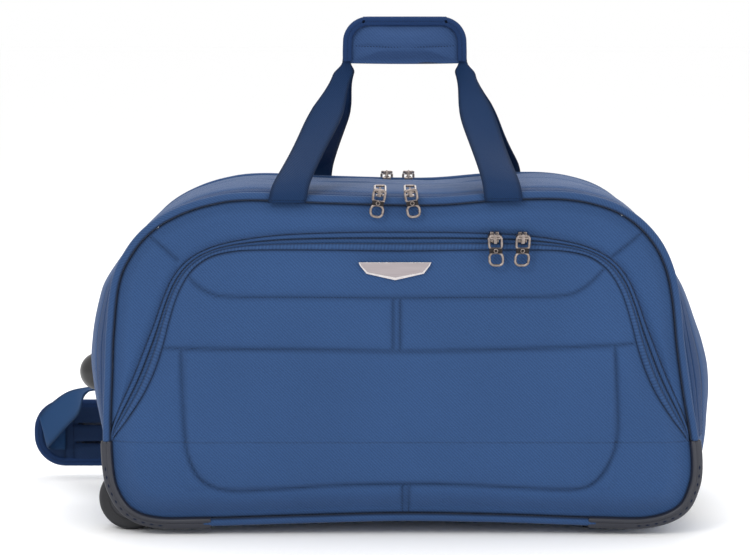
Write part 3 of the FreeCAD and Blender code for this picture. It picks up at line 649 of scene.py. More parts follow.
rim("front_rim_cloth", UPPER, -RIM_Y, RIM_R, "front_wall", "front_rim_piping")
rim("rear_rim_cloth", UPPER, RIM_Y, RIM_R, "bag", "bag_piping")
rim("front_bottom_cloth", bottom_run(), -RIM_Y, RIM_R, "bag")
rim("rear_bottom_cloth", bottom_run(), RIM_Y, RIM_R, "bag")

# %% [markdown]
# The front is a padded face. Inside a band lies a bell-shaped pocket, whose zip channel and
# piping run between an outer and an inner line and meet the rim at the fold. All parts read
# their depth from one rule, which sinks the cloth at each stitched seam and lets it puff
# between, so neighbours meet without a step.

# %% The lines of the front face
def mirrored(half):
    """A line given up its right side to the top middle, completed down the left side."""
    return np.vstack([half, [(-x, z) for x, z in half[-2::-1]]])


OUTER = curve(mirrored([(290.6, FOLD), (289, 108), (282, 127), (267, 160), (255, 190), (245.5, 214),
                        (237, 238), (227, 260), (213, 277), (193, 289), (165, 297), (120, 303),
                        (60, 305.5), (0, 306)]), 2.5)
INNER = curve(mirrored([(290, FOLD), (285, 104), (271, 122), (256, 146), (245, 170), (237.5, 193),
                        (231, 218), (223, 243), (213, 262), (202, 274), (188, 282.5), (168, 287.5),
                        (140, 289.5), (70, 289.5), (0, 288.5)]), 2.5)
YOKE = curve([(-213, 268), (-206, 257), (-190, 247), (-170, 243), (-100, 242.5), (0, 242), (100, 242.5),
              (160, 244), (183, 252), (203, 270)], 3)
WAIST = curve([(-241, 191), (-100, 190), (20, 188.5), (160, 192), (233, 195.5)], 6)
RAISED = curve([(-219, 190), (-218, 150), (-216, 107), (-211, 78), (-198, 57), (-172, 47), (-130, 48),
                (-70, 52), (0, 54), (60, 53), (120, 50), (172, 48), (196, 56), (212, 80), (218, 107),
                (217, 150), (214.5, 193)], 4)
MIDDLE = [np.array(p, dtype=float) for p in ([(-7, 241), (-7, 190)], [(0, 241), (0, 190)],
                                             [(2.5, 53), (3, 20)], [(8.5, 53), (9, 20)])]
DARTS = [curve([(-252, 304), (-240, 295), (-222, 279)], 4), curve([(242, 307), (226, 294), (211, 282)], 4)]
SEWN = [YOKE, WAIST, RAISED] + MIDDLE + DARTS


def away(x, z, line):
    """Distance in mm from each (x, z) to a line."""
    a, b = line[:-1], line[1:]
    d = b - a
    square = np.maximum((d ** 2).sum(1), 1e-9)
    best = np.full(x.shape, 1e9)
    for (ax, az), (dx, dz), s in zip(a, d, square):
        t = np.clip(((x - ax) * dx + (z - az) * dz) / s, 0, 1)
        best = np.minimum(best, (x - ax - t * dx) ** 2 + (z - az - t * dz) ** 2)
    return np.sqrt(best)


RIM_LINE = np.vstack([SEAM[::2], SEAM[:1]])


def front_depth(x, z, part):
    """How far in front of the bag's front plane the cloth stands, in mm, and how much painted
    shade its seams and edges get. part is "band", "face" or "plain"."""
    rim_gap = away(x, z, RIM_LINE)
    sewn = away(x, z, SEWN[0])
    for line in SEWN[1:]:
        sewn = np.minimum(sewn, away(x, z, line))
    ripple = 1.0 * wave(x, 0, z, 75.0, 3.0) + 0.4 * wave(x * 1.6, 0, z, 24.0, 9.0)
    puff = 1.3 * smooth(sewn / 12.0) - 1.9 * bell(sewn, 2.2)
    # dark is painted shade in the seam valleys and along the edge under the rim piping.
    dark = np.maximum(0.42 * bell(sewn, 2.0), 0.8 * bell(rim_gap, 1.8))
    if part == "band":
        edge = away(x, z, OUTER[::2])
        depth = 1.5 + 5.0 * smooth(np.minimum(rim_gap, edge + 6) / 16.0) - 2.5 * bell(edge, 1.2)
        return depth + (ripple + puff) * smooth(rim_gap / 14.0) * smooth(edge / 8.0), dark
    low = 2.0 + 11.0 * smooth(rim_gap / 28.0)
    if part == "plain":
        depth = low
        hold = smooth(rim_gap / 16.0)
    else:
        edge = away(x, z, INNER[::2])
        up = smooth((z - FOLD) / 50.0)
        near = np.where(z > FOLD + 3, edge, 1e3)
        depth = low * (1 - up) + up * (8.0 + 5.5 * smooth(edge / 24.0))
        hold = smooth(np.minimum(rim_gap, near) / 14.0)
        # Painted shade along the pocket's edge, under its piping.
        dark = np.maximum(dark, 0.85 * bell(near, 1.5))
    raised = (np.abs(x) < 214) & (z < 190) & (z > 50)
    lift = 1.5 * raised * smooth(sewn / 2.5)
    hollow = 2.2 * bell(z - 168, 26) * wave(x * 0.45, 0, z * 0.5, 80.0, 1.0)
    return depth + (puff + lift + ripple + hollow) * hold, dark


def front_sheet(name, flat, part, cloth_mm=2.0):
    x, z = flat[..., 0], flat[..., 1]
    depth, dark = front_depth(x, z, part)
    # dark is painted shade, stored in the seam attribute.
    piece = sheet(name, placed(x, FRONT - depth, z), flat * MM, dark)
    return paint(thicken(piece, cloth_mm), body_cloth)


def patch(low, top, left, right):
    """Fills four side lines with a smooth grid of (x, z)."""
    u = np.linspace(0, 1, len(low))[None, :, None]
    v = np.linspace(0, 1, len(left))[:, None, None]
    return ((1 - v) * low[None] + v * top[None] + (1 - u) * left[:, None] + u * right[:, None]
            - (1 - u) * (1 - v) * low[0] - u * (1 - v) * low[-1] - (1 - u) * v * top[0] - u * v * top[-1])


# %% The band round the pocket
BAND = 420
rim_side = resample(SEAM[UPPER], BAND)[::-1]
pocket_side = resample(OUTER, BAND)[::-1]
v = (0.5 - 0.5 * np.cos(np.linspace(0, math.pi, 27)))[:, None, None]
band = front_sheet("front_band", pocket_side[None] * (1 - v) + rim_side[None] * v, "band")
seat(band, "front_wall", "body_fabric", "front_panel")

# %% The pocket face, and its foot below the fold
COLS = 250
shoulder = int(np.argmin(np.abs(INNER[: len(INNER) // 2, 0] - 203)))
side = resample(INNER[: shoulder + 1], 84)
top = resample(INNER[shoulder: len(INNER) - shoulder], COLS)[::-1]
left = resample(INNER[len(INNER) - 1 - shoulder:][::-1], 84)
straight = np.stack([np.linspace(-290, 290, COLS + 1), np.full(COLS + 1, FOLD)], axis=1)
pocket_face = front_sheet("pocket_face", patch(straight, top, left, side), "face")
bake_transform(pocket_face)
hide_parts("pocket_panel", "raised_panel_upper")

ring_low = SEAM[LOWER]
first = int(np.argmin(np.abs(ring_low[:, 0] + 276) + 9 * (ring_low[:, 1] > 60)))
last = int(np.argmin(np.abs(ring_low[:, 0] - 282) + 9 * (ring_low[:, 1] > 60)))
foot_top = np.stack([np.linspace(ring_low[0][0], ring_low[-1][0], COLS + 1),
                     np.full(COLS + 1, FOLD)], axis=1)
foot_grid = patch(resample(ring_low[first: last + 1], COLS), foot_top,
                  resample(ring_low[: first + 1][::-1], 34), resample(ring_low[last:], 34))
pocket_foot = front_sheet("pocket_foot", foot_grid, "plain")
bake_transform(pocket_foot)
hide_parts("lower_pocket_panel", "raised_panel_lower", "lower_front_panel")
print("pocket faces", len(pocket_face.data.polygons), len(pocket_foot.data.polygons))


# %% The pocket's zip channel and piping
def channel(f, depth):
    """A line at share f between the outer and the inner line, at a depth that fades out where
    the two lines meet."""
    outer, inner = resample(OUTER, BAND), resample(INNER, BAND)
    width = np.linalg.norm(outer - inner, axis=1)
    flat = outer * (1 - f) + inner * f
    deep = 2.6 + (depth - 2.6) * smooth(width / 13.0)
    return placed(flat[:, 0], FRONT - deep, flat[:, 1]), width


def channel_strip(name, f0, f1, d0, d1, skin, body, slot, *nodes):
    lines = [channel(f0 + (f1 - f0) * t, d0 + (d1 - d0) * t + 0.8 * math.sin(math.pi * t))[0][::-1]
             for t in np.linspace(1, 0, 5)]
    points = np.stack(lines)
    uv = np.stack(np.broadcast_arrays(distances(points[0])[None, :],
                                      np.linspace(0, 0.006, 5)[:, None]), axis=-1)
    # edge is painted shade along both edges of the strip, where it tucks under the band and the flap.
    edge = np.broadcast_to(np.array([0.8, 0.15, 0, 0.15, 0.8])[:, None], points.shape[:2])
    return seat(paint(thicken(sheet(name, points, uv, edge), 1.2), skin), body, slot, *nodes)


channel_strip("pocket_zip_outer_cloth", -0.06, 0.30, 2.6, 2.8, body_cloth, "front_wall", "zip_tape",
              "pocket_zip_tape")
channel_strip("pocket_zip_inner_cloth", 0.31, 0.68, 3.2, 3.6, body_cloth, "pocket_flap", "zip_tape",
              "pocket_gusset")
cord_line, width = channel(0.80, 6.5)
radius = np.maximum(0.215 * width, 0.5)
side_dir = ways(cord_line)
side_dir = unit(np.cross(np.broadcast_to(AHEAD, side_dir.shape), side_dir))
ring_of = oval(1.0, 1.0, 14)
# The cord's shade is painted shade at its two sides, where it sits down in the channel.
cord = sweep("pocket_piping_cloth", cord_line, side_dir, np.broadcast_to(AHEAD, side_dir.shape),
             ring_of[None] * radius[:, None, None], shade=np.abs(ring_of[:, 0]) ** 6 * 0.8)
seat(paint(cord, piping_cloth), "pocket_flap", "piping_fabric", "pocket_piping")


# %% Stitch lines on the front
def on_front(line, part, proud=0.3):
    depth, _ = front_depth(line[:, 0], line[:, 1], part)
    return placed(line[:, 0], FRONT - depth - proud, line[:, 1])


upper_raised = RAISED[RAISED[:, 1] > FOLD + 15]
cut = int(np.argmax(np.diff(upper_raised[:, 0]) > 100)) + 1
for name, line, part, body in (
        ("yoke_stitches", YOKE, "face", "pocket_flap"), ("waist_stitches", WAIST, "face", "pocket_flap"),
        ("raised_stitches_left", upper_raised[:cut], "face", "pocket_flap"),
        ("raised_stitches_right", upper_raised[cut:], "face", "pocket_flap"),
        ("raised_stitches_low", RAISED[RAISED[:, 1] < FOLD - 14], "plain", "bag"),
        ("middle_stitches_a", MIDDLE[0], "face", "pocket_flap"),
        ("middle_stitches_b", MIDDLE[1], "face", "pocket_flap"),
        ("middle_stitches_c", MIDDLE[2], "plain", "bag"), ("middle_stitches_d", MIDDLE[3], "plain", "bag"),
        ("dart_stitches_left", DARTS[0], "band", "front_wall"),
        ("dart_stitches_right", DARTS[1], "band", "front_wall")):
    fine = resample(line, max(24, int(distances(line)[-1] / 2)))
    stitches(name, on_front(fine, part, -0.1), AHEAD, body, "body_fabric")

# %% The rear face, a plain padded wall with one seam
low_a = int(np.argmin(np.hypot(SEAM[:, 0] - 282, SEAM[:, 1] - 30)))
top_a = int(np.argmin(np.hypot(SEAM[:, 0] - 245, SEAM[:, 1] - 303)))
top_b = int(np.argmin(np.hypot(SEAM[:, 0] + 250, SEAM[:, 1] - 303)))
low_b = int(np.argmin(np.hypot(SEAM[:, 0] + 276, SEAM[:, 1] - 32)))
around = np.vstack([SEAM, SEAM])
rear_grid = patch(resample(around[low_b: low_a + COUNT + 1], 150)[::-1],
                  resample(around[top_a: top_b + 1], 150),
                  resample(around[low_a: top_a + 1], 80), resample(around[top_b: low_b + 1][::-1], 80))
x, z = rear_grid[..., 0], rear_grid[..., 1]
rim_gap = away(x, z, RIM_LINE)
BELT = 205               # height of the one seam across the back
belt = bell(z - BELT, 2.2)
swell = 8.0 * smooth(rim_gap / 42.0) + wave(x, 5, z, 75.0) * smooth(rim_gap / 20.0) - 2.0 * belt
# shade is painted shade under the rim piping and in the valley of the seam across the back.
shade = np.maximum(0.85 * bell(rim_gap, 2.0), 0.8 * bell(z - BELT, 1.3))
rear_face = sheet("rear_face", placed(x, REAR - 2.0 + swell, z), rear_grid * MM, shade)
seat(paint(thicken(rear_face, 2.0), body_cloth), "bag", "body_fabric", "rear_panel")


# %% [markdown]
# Rubber guards wrap the rim at the bottom corners: a lip with a ridge along its inner side.
# A row of dark beads at even spaces is painted shade in the holes where it is stitched through.

# %% Corner guards
def guard(name, index, facing, *nodes):
    index = np.asarray(index)
    line = resample(SEAM[index], len(index) * 2)
    way = ways(line)
    n = np.stack([way[:, 1], -way[:, 0]], axis=1)
    if n[len(n) // 2] @ line[len(n) // 2] < 0:
        n = -n
    side = np.stack([n[:, 0], np.zeros(len(n)), n[:, 1]], axis=1)
    outward = np.broadcast_to(np.array([0.0, facing, 0.0]), side.shape)
    centres = placed(line[:, 0], facing * RIM_Y, line[:, 1])
    ends = np.clip(np.minimum(np.arange(len(line)), np.arange(len(line))[::-1]) / 2.0, 0.0, 1.0)
    swell = (0.86 + 0.14 * ends)[:, None, None]
    flange = sweep(name, centres, side, outward, oval(5.4, 3.6, 28, 0.75) * swell + np.array([5.6, 0.0]))
    ridge = sweep(name + "_ridge", centres, side, outward,
                  oval(3.3, 5.0, 24, 0.9) * swell + np.array([2.6, 0.2]))
    piece = joined(name, flange, ridge)
    seat(paint(piece, guard_rubber), "bag", "guard_rubber", *nodes)
    bend = (line[:, 1] < 74) & (np.abs(line[:, 0]) > 236)
    row = line[bend] + n[bend] * 7.4
    # The dark beads are painted shade in the holes where the guard is stitched through.
    stitches(name + "_holes", placed(row[:, 0], facing * 150.5, row[:, 1]), outward[0], "bag",
             "guard_rubber", step=8.5, long=2.7, wide=1.0, high=0.35)


GUARD_FROM = 190.0       # a guard starts this far out along the bottom
right_low = [i for i in range(COUNT) if SEAM[i][0] > GUARD_FROM and SEAM[i][1] <= FOLD + 0.01]
left_low = [i for i in range(COUNT) if SEAM[i][0] < -GUARD_FROM and SEAM[i][1] <= FOLD + 0.01]
guard("guard_front_left", left_low, -1, "corner_guards")
guard("guard_front_right", right_low, -1)
guard("guard_rear_left", left_low, 1)
guard("guard_rear_right", right_low, 1)


# %% [markdown]
# The two carrying handles are flat webbing. Each foot lies over the rim piping, then the strap
# rises and turns edge-on, so it looks narrower where it enters the hand wrap.


# %% Handles
def ribbon(name, centres, across, thick=2.0):
    """A flat strap: centres and half-width vectors in metres."""
    t = np.linspace(-1, 1, 9)[None, :, None]
    points = centres[:, None] + across[:, None] * t
    wide = 2 * np.linalg.norm(across, axis=1)[:, None] * np.linspace(0, 1, 9)[None]
    uv = np.stack(np.broadcast_arrays(wide, distances(centres)[:, None]), axis=-1)
    # edge is painted shade along the strap's two edges.
    edge = np.broadcast_to((np.abs(np.linspace(-1, 1, 9)) ** 8 * 0.45)[None], points.shape[:2])
    return finish_with(sheet(name, points, uv, edge), "SOLIDIFY", thickness=thick * MM, offset=0.0)


WRAP_X = 6.0             # the hand wrap sits a little right of the middle


def foot_height(x):
    """Height of the rim, where a handle foot at x is sewn down."""
    return float(np.interp(x, [-110, 0, 110], [336.5, 334.0, 338.5]))


def handle(name, facing, parent, webbing_node, feet):
    straps = []
    for turn, foot_x in zip((-1, 1), feet):
        foot = foot_height(foot_x)
        neck = WRAP_X + turn * 61.0

        def lean(t):
            return neck + (foot_x - neck) * t

        path = curve([(lean(1.03), 154.0, foot), (lean(1.0), 154.4, foot + 7),
                      (lean(0.97), 149.5, foot + 15), (lean(0.88), 136.0, foot + 27),
                      (lean(0.52), 80.0, 402), (lean(0.16), 28.0, 447), (lean(0.02), 10.0, 467),
                      (neck - turn * 1, 6.5, 480), (neck - turn * 3, 6.0, 496)], 3.0)
        path = resample(path, 80)
        t = np.linspace(0, 1, len(path))
        twist = 1.02 * smooth((t - 0.42) / 0.40)
        inside = 1 - 0.62 * smooth((t - 0.84) / 0.06)
        across = np.stack([np.cos(twist) * 19.0 * inside, facing * turn * np.sin(twist) * 9.0 * inside,
                           -turn * 4.5 * np.sin(np.minimum(t * 1.6, 1.0) * math.pi) * inside], axis=1) * MM
        straps.append(ribbon(name + str(turn), placed(path[:, 0], facing * path[:, 1], path[:, 2]), across))
    bar = np.linspace(-54, 54, 40)
    loop = placed(WRAP_X + bar, facing * 5.0, 500 - 3 * (bar / 54) ** 2)
    straps.append(ribbon(name + "_bar", loop, np.broadcast_to(np.array([0, 0, 0.0075]), loop.shape)))
    piece = paint(joined(name, *straps), webbing_cloth)
    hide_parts(webbing_node)
    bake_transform(piece)
    for turn, foot_x in zip((-1, 1), feet):
        foot = foot_height(foot_x)
        across = np.linspace(foot_x - 17.5, foot_x + 17.5, 12)
        stitches(name + "_tack" + str(turn), placed(across, facing * 155.6, foot + 2.5),
                 np.array([0.0, facing, 0.0]), parent, "webbing", step=2.6, long=1.0, wide=0.35)
    return piece


handle("front_handle_strap", -1, "front_wall", "front_handle_webbing", (-111.0, 102.0))
handle("rear_handle_strap", 1, "bag", "rear_handle_webbing", (-92.0, 118.0))


# %% [markdown]
# The hand wrap is two padded leaves of body cloth, one on each handle, bound at the top and
# sides with a narrow tape that is sewn down in a zigzag.

# %% Hand wrap
def outline(half, low, high, round_top, round_low, count=160):
    """A rounded rectangle of (x, z), anticlockwise from the bottom left, with count points."""
    def corner(cx, cz, r, start):
        a = np.radians(np.linspace(start, start + 90, 12))
        return np.stack([cx + r * np.cos(a), cz + r * np.sin(a)], axis=1)
    line = np.vstack([corner(half - round_low, low + round_low, round_low, -90),
                      corner(half - round_top, high - round_top, round_top, 0),
                      corner(-half + round_top, high - round_top, round_top, 90),
                      corner(-half + round_low, low + round_low, round_low, 180)])
    return resample(np.vstack([line, line[:1]]), count)


def cushion(name, edge, front, back, rings=14):
    """A closed pad inside an outline: front and back give y in mm from the distance to the edge."""
    middle = (edge.max(0) + edge.min(0)) / 2
    share = (1 - np.linspace(1, 0, rings + 1) ** 1.4)[:, None, None]
    flat = middle + (edge - middle)[None] * np.array(share)
    gap = (1 - share[..., 0]) * np.min(edge.max(0) - middle)
    x, z = flat[..., 0], flat[..., 1]
    halves = []
    for way, rule in ((1, front), (-1, back)):
        points = placed(x, rule(x, z, gap), z)
        halves.append(sheet(name + str(way), points[::way], flat[::way] * MM))
    return weld(joined(name, *halves))


def leaf(name, facing, body, node):
    edge = outline(64.5, 471.5, 517.0, 24.0, 6.0)

    def sagging(x):
        return -2.2 * (1 - (x / 65) ** 2)

    edge[:, 1] += np.where(edge[:, 1] < 485, sagging(edge[:, 0]) * 0.4, 0.0)

    def outer(x, z, gap):
        seam = 1.3 * bell(z - 490.5 - sagging(x - WRAP_X), 1.8) * (gap > 6)
        return facing * (5.5 + 9.5 * smooth(gap / 19.0) - seam + 0.7 * wave(x, 0, z, 26.0, 4.0))

    edge[:, 0] += WRAP_X
    piece = cushion(name, edge, outer, lambda x, z, gap: facing * (0.6 + 3.0 * smooth((5 - gap) / 5.0)))
    seat(paint(piece, wrap_cloth), body, "wrap_fabric", node)
    arc = np.radians(np.linspace(180, 90, 10))
    turn = np.stack([-38.0 + 21.5 * np.cos(arc), 493.5 + 21.5 * np.sin(arc)], axis=1)
    half = np.vstack([[(-59.5, 473.5), (-59.8, 480)], turn])
    border = resample(curve(np.vstack([half, half[::-1] * np.array([-1, 1])]), 2.0), 170)
    border[:, 0] += WRAP_X
    n = ways(border)
    side = np.stack([n[:, 1], np.zeros(len(n)), -n[:, 0]], axis=1)
    out = np.broadcast_to(np.array([0.0, facing, 0.0]), side.shape)
    bound = sweep(name + "_binding", placed(border[:, 0], facing * 8.2, border[:, 1]), side, out,
                  oval(5.0, 3.4, 18, 0.7))
    seat(paint(bound, bind_cloth), body, "wrap_fabric")
    stitches(name + "_zigzag", placed(border[:, 0], facing * 11.5, border[:, 1]), out[0], body,
             "wrap_fabric", step=2.3, long=1.7, wide=0.32, zigzag=1.1)
    bar = np.linspace(-52, 52, 80)
    y = facing * (14.0 - 1.8 * (np.abs(bar) / 52) ** 5)
    stitches(name + "_quilting", placed(WRAP_X + bar, y, 490.5 + sagging(bar)), out[0], body,
             "wrap_fabric", step=3.0, long=1.0)


leaf("front_wrap", -1, "front_handle", "front_wrap_leaf")
leaf("rear_wrap", 1, "rear_handle", "rear_wrap_leaf")


# %% [markdown]
# Each zip pull is cast metal in three parts: a square link through the slider, a dark knurled
# block, and an open ring to grip. The parts are round wire swept on closed paths.

# %% Sliders and pulls
def wire(name, points, r, closed=True, around=10):
    centres = np.array([tuple(p) for p in points])
    way = ways(centres, closed)
    side = unit(np.cross(way, np.array([0.31, 0.17, 0.93])))
    return sweep(name, centres, side, np.cross(way, side), oval(r, r, around), closed=closed)


def frame_path(middle, right, down, wide, tall, r, count=40):
    """A rounded rectangle in the plane of right and down, wide by tall mm."""
    flat = outline(wide / 2, -tall / 2, tall / 2, r, r, count)[:-1]
    return middle + flat[:, :1] * MM * right + flat[:, 1:] * MM * -down


def block(name, middle, right, down, out, wide, tall, thick, bevel=0.5):
    fresh()
    bpy.ops.mesh.primitive_cube_add(size=1)
    piece = bpy.context.object
    piece.name = name
    for vert in piece.data.vertices:
        a, b, c = vert.co
        spot = middle + right * (a * wide * MM) + down * (b * tall * MM) + out * (c * thick * MM)
        vert.co = Vector(spot)
    finish_with(piece, "BEVEL", width=bevel * MM, segments=3, limit_method="NONE")
    return edit(piece, lambda: bpy.ops.mesh.normals_make_consistent(inside=False))


def pull(name, top, right, down, out, body, wide=11.5, size=1.0):
    """The hanging part of a pull, whose link starts at top."""
    link = frame_path(top + down * 6.0 * size * MM, right, down, wide, 12.5 * size, 2.6)
    grip = frame_path(top + down * 22.5 * size * MM, right, down, wide + 0.6, 12.5 * size, 4.6)
    bright = joined(name + "_metal", wire(name + "_link", link, 1.35), wire(name + "_ring", grip, 1.35),
                    block(name + "_tongue", top + down * 3.2 * size * MM + out * 0.6 * MM, right, down, out,
                          3.4, 8.0 * size, 1.6))
    seat(paint(bright, old_silver), body, "antique_metal", name)
    middle = top + down * 14.2 * size * MM
    knurl = [block(name + "_block", middle, right, down, out, wide + 0.4, 5.4 * size, 3.4, 0.8)]
    for k in (-1.5, -0.5, 0.5, 1.5):
        knurl.append(block(name + "_rib", middle + right * (k * 2.6 * MM) + out * 1.5 * MM,
                           right, down, out, 1.0, 4.2 * size, 1.0, 0.25))
    dark = joined(name + "_knurl", *knurl)
    seat(paint(dark, dark_metal), body, "antique_metal")
    motif = frame_path(middle + out * 2.0 * MM, right, down, 3.6, 3.6, 1.7, 20)
    seat(paint(wire(name + "_motif", motif, 0.45), old_silver), body, "antique_metal")


def slider(name, middle, right, down, out):
    """A slider body with a raised bridge; down is the way it runs off its zip."""
    parts = [block(name + "_body", middle + out * 1.2 * MM, right, down, out, 9.0, 11.0, 2.6, 0.9),
             block(name + "_nose", middle + out * 2.6 * MM + down * 2.2 * MM, right, down, out,
                   5.4, 6.6, 2.2, 0.8)]
    arch = [middle + down * (a * MM) + out * (b * MM) for a, b in
            ((-4.4, 1.5), (-4.0, 5.0), (-1.5, 8.6), (1.5, 8.6), (4.0, 5.0), (4.4, 1.5))]
    line = curve([tuple(p) for p in arch], 0.0008)
    parts.append(wire(name + "_bridge", line, 1.3, closed=False))
    return paint(joined(name + "_metal", *parts), old_silver)


X_WAY = np.array([1.0, 0.0, 0.0])
for side, x, lean in (("left", -20.0, 0.16), ("right", 10.0, -0.16)):
    metal_slider = slider("main_slider_" + side, np.array(at(x, ZIP, 340.5)), X_WAY,
                          np.array([0.0, -1.0, 0.0]), UP)
    seat(metal_slider, "main_slider_" + side, "antique_metal", "main_slider_" + side)
    neck = wire("main_neck_" + side, frame_path(np.array(at(x, -141.5, 349.4)), X_WAY,
                np.array([0.0, -0.985, -0.17]), 10.5, 27.0, 2.5), 1.25)
    seat(paint(neck, old_silver), "main_pull_" + side, "antique_metal")
    down = unit(np.array([-lean, -0.10, -1.0]))
    right = unit(np.cross(down, AHEAD))
    right = right if right[0] > 0 else -right
    pull("main_pull_" + side, np.array(at(x, -156.4, 349.0)), right, down,
         unit(np.cross(down, right)), "main_pull_" + side, size=0.92)
for side, x in (("left", 94.0), ("right", 122.0)):
    piece = slider("pocket_slider_" + side, np.array(at(x, FRONT - 4.5, 302.0)), X_WAY, -UP, AHEAD)
    seat(piece, "pocket_slider_" + side, "antique_metal", "pocket_slider_" + side)
    neck = wire("pocket_neck_" + side, frame_path(np.array(at(x, -158.6, 303.0)), X_WAY,
                np.array([0.0, -1.0, -0.12]), 12.0, 15.0, 2.5), 1.3)
    seat(paint(neck, old_silver), "pocket_pull_" + side, "antique_metal")
    down = unit(np.array([0.05 if side == "left" else -0.06, -0.03, -1.0]))
    pull("pocket_pull_" + side, np.array(at(x, -166.0, 304.0)), X_WAY, down, AHEAD,
         "pocket_pull_" + side, wide=12.6)
for side, x in (("left", -12.0), ("right", 12.0)):
    if side == "left":
        pair = [slider("rear_slider_" + str(k), np.array(at(k, 130.0, 341.0)), X_WAY,
                       np.array([0.0, 1.0, 0.0]), UP) for k in (-12.0, 12.0)]
        seat(joined("rear_sliders_metal", *pair), "bag", "antique_metal", "rear_sliders")
    neck = wire("rear_neck_" + side, frame_path(np.array(at(x, 142.5, 347.5)), X_WAY,
                np.array([0.0, 0.99, -0.14]), 10.5, 26.0, 2.5), 1.25)
    seat(paint(neck, old_silver), "rear_pull_" + side, "antique_metal")
    pull("rear_pull_" + side, np.array(at(x, 156.5, 346.5)), X_WAY, -UP, np.array([0.0, 1.0, 0.0]),
         "rear_pull_" + side, size=0.72)

# %% [markdown]
# The badge is a bright plate with a wide bevel, wide at the top and drawn to a shallow point
# below. It carries no words.

# %% Badge
def plate(name, points, y0, y1, bevel):
    """A flat plate with the given outline of (x, z), its front edge bevelled."""
    low = [tuple(at(x, y1, z)) for x, z in points]
    high = [tuple(at(x, y0, z)) for x, z in points]
    n = len(points)
    faces = [tuple(range(n)), tuple(range(2 * n - 1, n - 1, -1))]
    faces += [(i, i + n, (i + 1) % n + n, (i + 1) % n) for i in range(n)]
    mesh = bpy.data.meshes.new(name)
    mesh.from_pydata(low + high, [], faces)
    mesh.uv_layers.new(name="UVMap")
    piece = bpy.data.objects.new(name, mesh)
    bpy.context.collection.objects.link(piece)
    edit(piece, lambda: bpy.ops.mesh.normals_make_consistent(inside=False))
    return finish_with(piece, "BEVEL", width=bevel * MM, segments=2, limit_method="ANGLE")


BADGE = [(-41.5, 278.0), (31.0, 278.0), (29.5, 274.5), (23.5, 266.5), (-5.0, 260.0), (-33.5, 266.5),
         (-40.0, 274.5)]
seat(paint(plate("badge_plate", BADGE, -162.6, -158.0, 0.5), bright_edge), "pocket_flap",
     "badge_metal", "badge")
small = [(-5 + (x + 5) * 0.955, 270.2 + (z - 269.2) * 0.80) for x, z in BADGE]
seat(paint(plate("badge_face", small, -163.4, -160.0, 0.4), satin_silver), "pocket_flap",
     "badge_metal")

# %% [markdown]
# The shoulder strap hangs behind the left end: webbing drops from its hook, folds, and enters
# a padded shoulder piece with two sewn channels and a bound edge. The rest runs along the back.

# %% Shoulder strap webbing
def path_ribbon(name, stations, count):
    """Stations of (x, y, z, then half-width vector) in mm, joined smoothly."""
    full = curve(stations, 4.0)
    full = resample(full, count)
    return ribbon(name, placed(full[:, 0], full[:, 1], full[:, 2]), full[:, 3:] * MM, 1.8)


drop = path_ribbon("strap_drop", [
    (-314, 112, 117, 3, 18, 1), (-326, 115, 113, 4, 18.4, 1), (-340, 120, 108, 5, 17.8, 1.5),
    (-360, 136, 92, -6.5, 14.5, 10), (-380, 152, 74, -9.4, 11, 12), (-396, 166, 56, -5, 4, 17.6),
    (-399, 171, 53, -4.4, 0, 18.2), (-395, 177, 50, -3, 0, 18.5), (-386, 181.0, 49, 0, 0, 18.6),
    (-376, 182.6, 49, 0, 0, 18.6)], 70)
run = path_ribbon("strap_run", [
    (-240, 182.4, 52, 0, 0, 19), (-180, 181.5, 52, 0, 0, 19), (-60, 180, 52, 0, 0, 19),
    (100, 179, 52, 0, 0, 19), (232, 178, 56, 0, 0, 19), (290, 172, 74, -6, 0, 18), (318, 156, 98, -8, 3, 16),
    (325, 136, 114, -7, 8, 14), (322, 120, 120, -4, 14, 8), (314, 112, 121, 0, 17, 4)], 120)
strap = paint(joined("strap_cloth", drop, run), strap_cloth)
seat(strap, "shoulder_strap", "webbing", "strap_webbing")

# %% Shoulder pad
PAD_AT = np.array([-277.0, -3.0])
pad_edge = outline(132.5, 16.0, 88.0, 33.0, 33.0, 240) + PAD_AT
CHANNELS, CROSSES = (38.0, 59.0), (-377.0, -367.0)


def pad_face(x, z, gap):
    channels = sum(bell(z - level, 2.4) for level in CHANNELS)
    cross = sum(bell(x - level, 1.8) for level in CROSSES)
    sink = 3.6 * channels * (np.abs(x + 270) < 96) + 1.8 * cross
    return 186.5 - 2.2 * smooth(gap / 8.0) + sink - 0.6 * wave(x, 0, z, 34.0, 2.0)


pad = cushion("shoulder_pad_cloth", pad_edge, pad_face,
              lambda x, z, gap: 189.0 + 6.0 * smooth(gap / 12.0) + 0.5 * wave(x, 9, z, 34.0), rings=22)
seat(paint(pad, pad_cloth), "shoulder_strap", "pad_fabric", "shoulder_pad")
rim_line = outline(129.5, 19.0, 85.0, 30.0, 30.0, 260)[:-1] + PAD_AT
n = ways(rim_line, closed=True)
side = np.stack([n[:, 1], np.zeros(len(n)), -n[:, 0]], axis=1)
bound = sweep("pad_binding", placed(rim_line[:, 0], 187.8, rim_line[:, 1]), side,
              np.broadcast_to(AHEAD, side.shape), oval(5.2, 3.6, 16, 0.7), closed=True)
seat(paint(bound, bind_cloth), "shoulder_strap", "pad_fabric")
stitches("pad_zigzag", placed(rim_line[:, 0], 184.1, rim_line[:, 1]), AHEAD, "shoulder_strap",
         "pad_fabric", step=3.0, long=1.6, wide=0.35, zigzag=0.9)
for k, z in enumerate(CHANNELS):
    line = np.linspace(-364, -176, 90)
    stitches("pad_channel_" + str(k), placed(line, 189.4, z), AHEAD, "shoulder_strap", "pad_fabric",
             step=2.2, long=1.3, wide=1.1)
for k, x in enumerate(CROSSES):
    line = np.linspace(19, 79, 30)
    stitches("pad_cross_" + str(k), placed(x, 184.6, line), AHEAD, "shoulder_strap", "pad_fabric", step=3.0)

# %% [markdown]
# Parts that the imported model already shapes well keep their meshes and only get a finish.

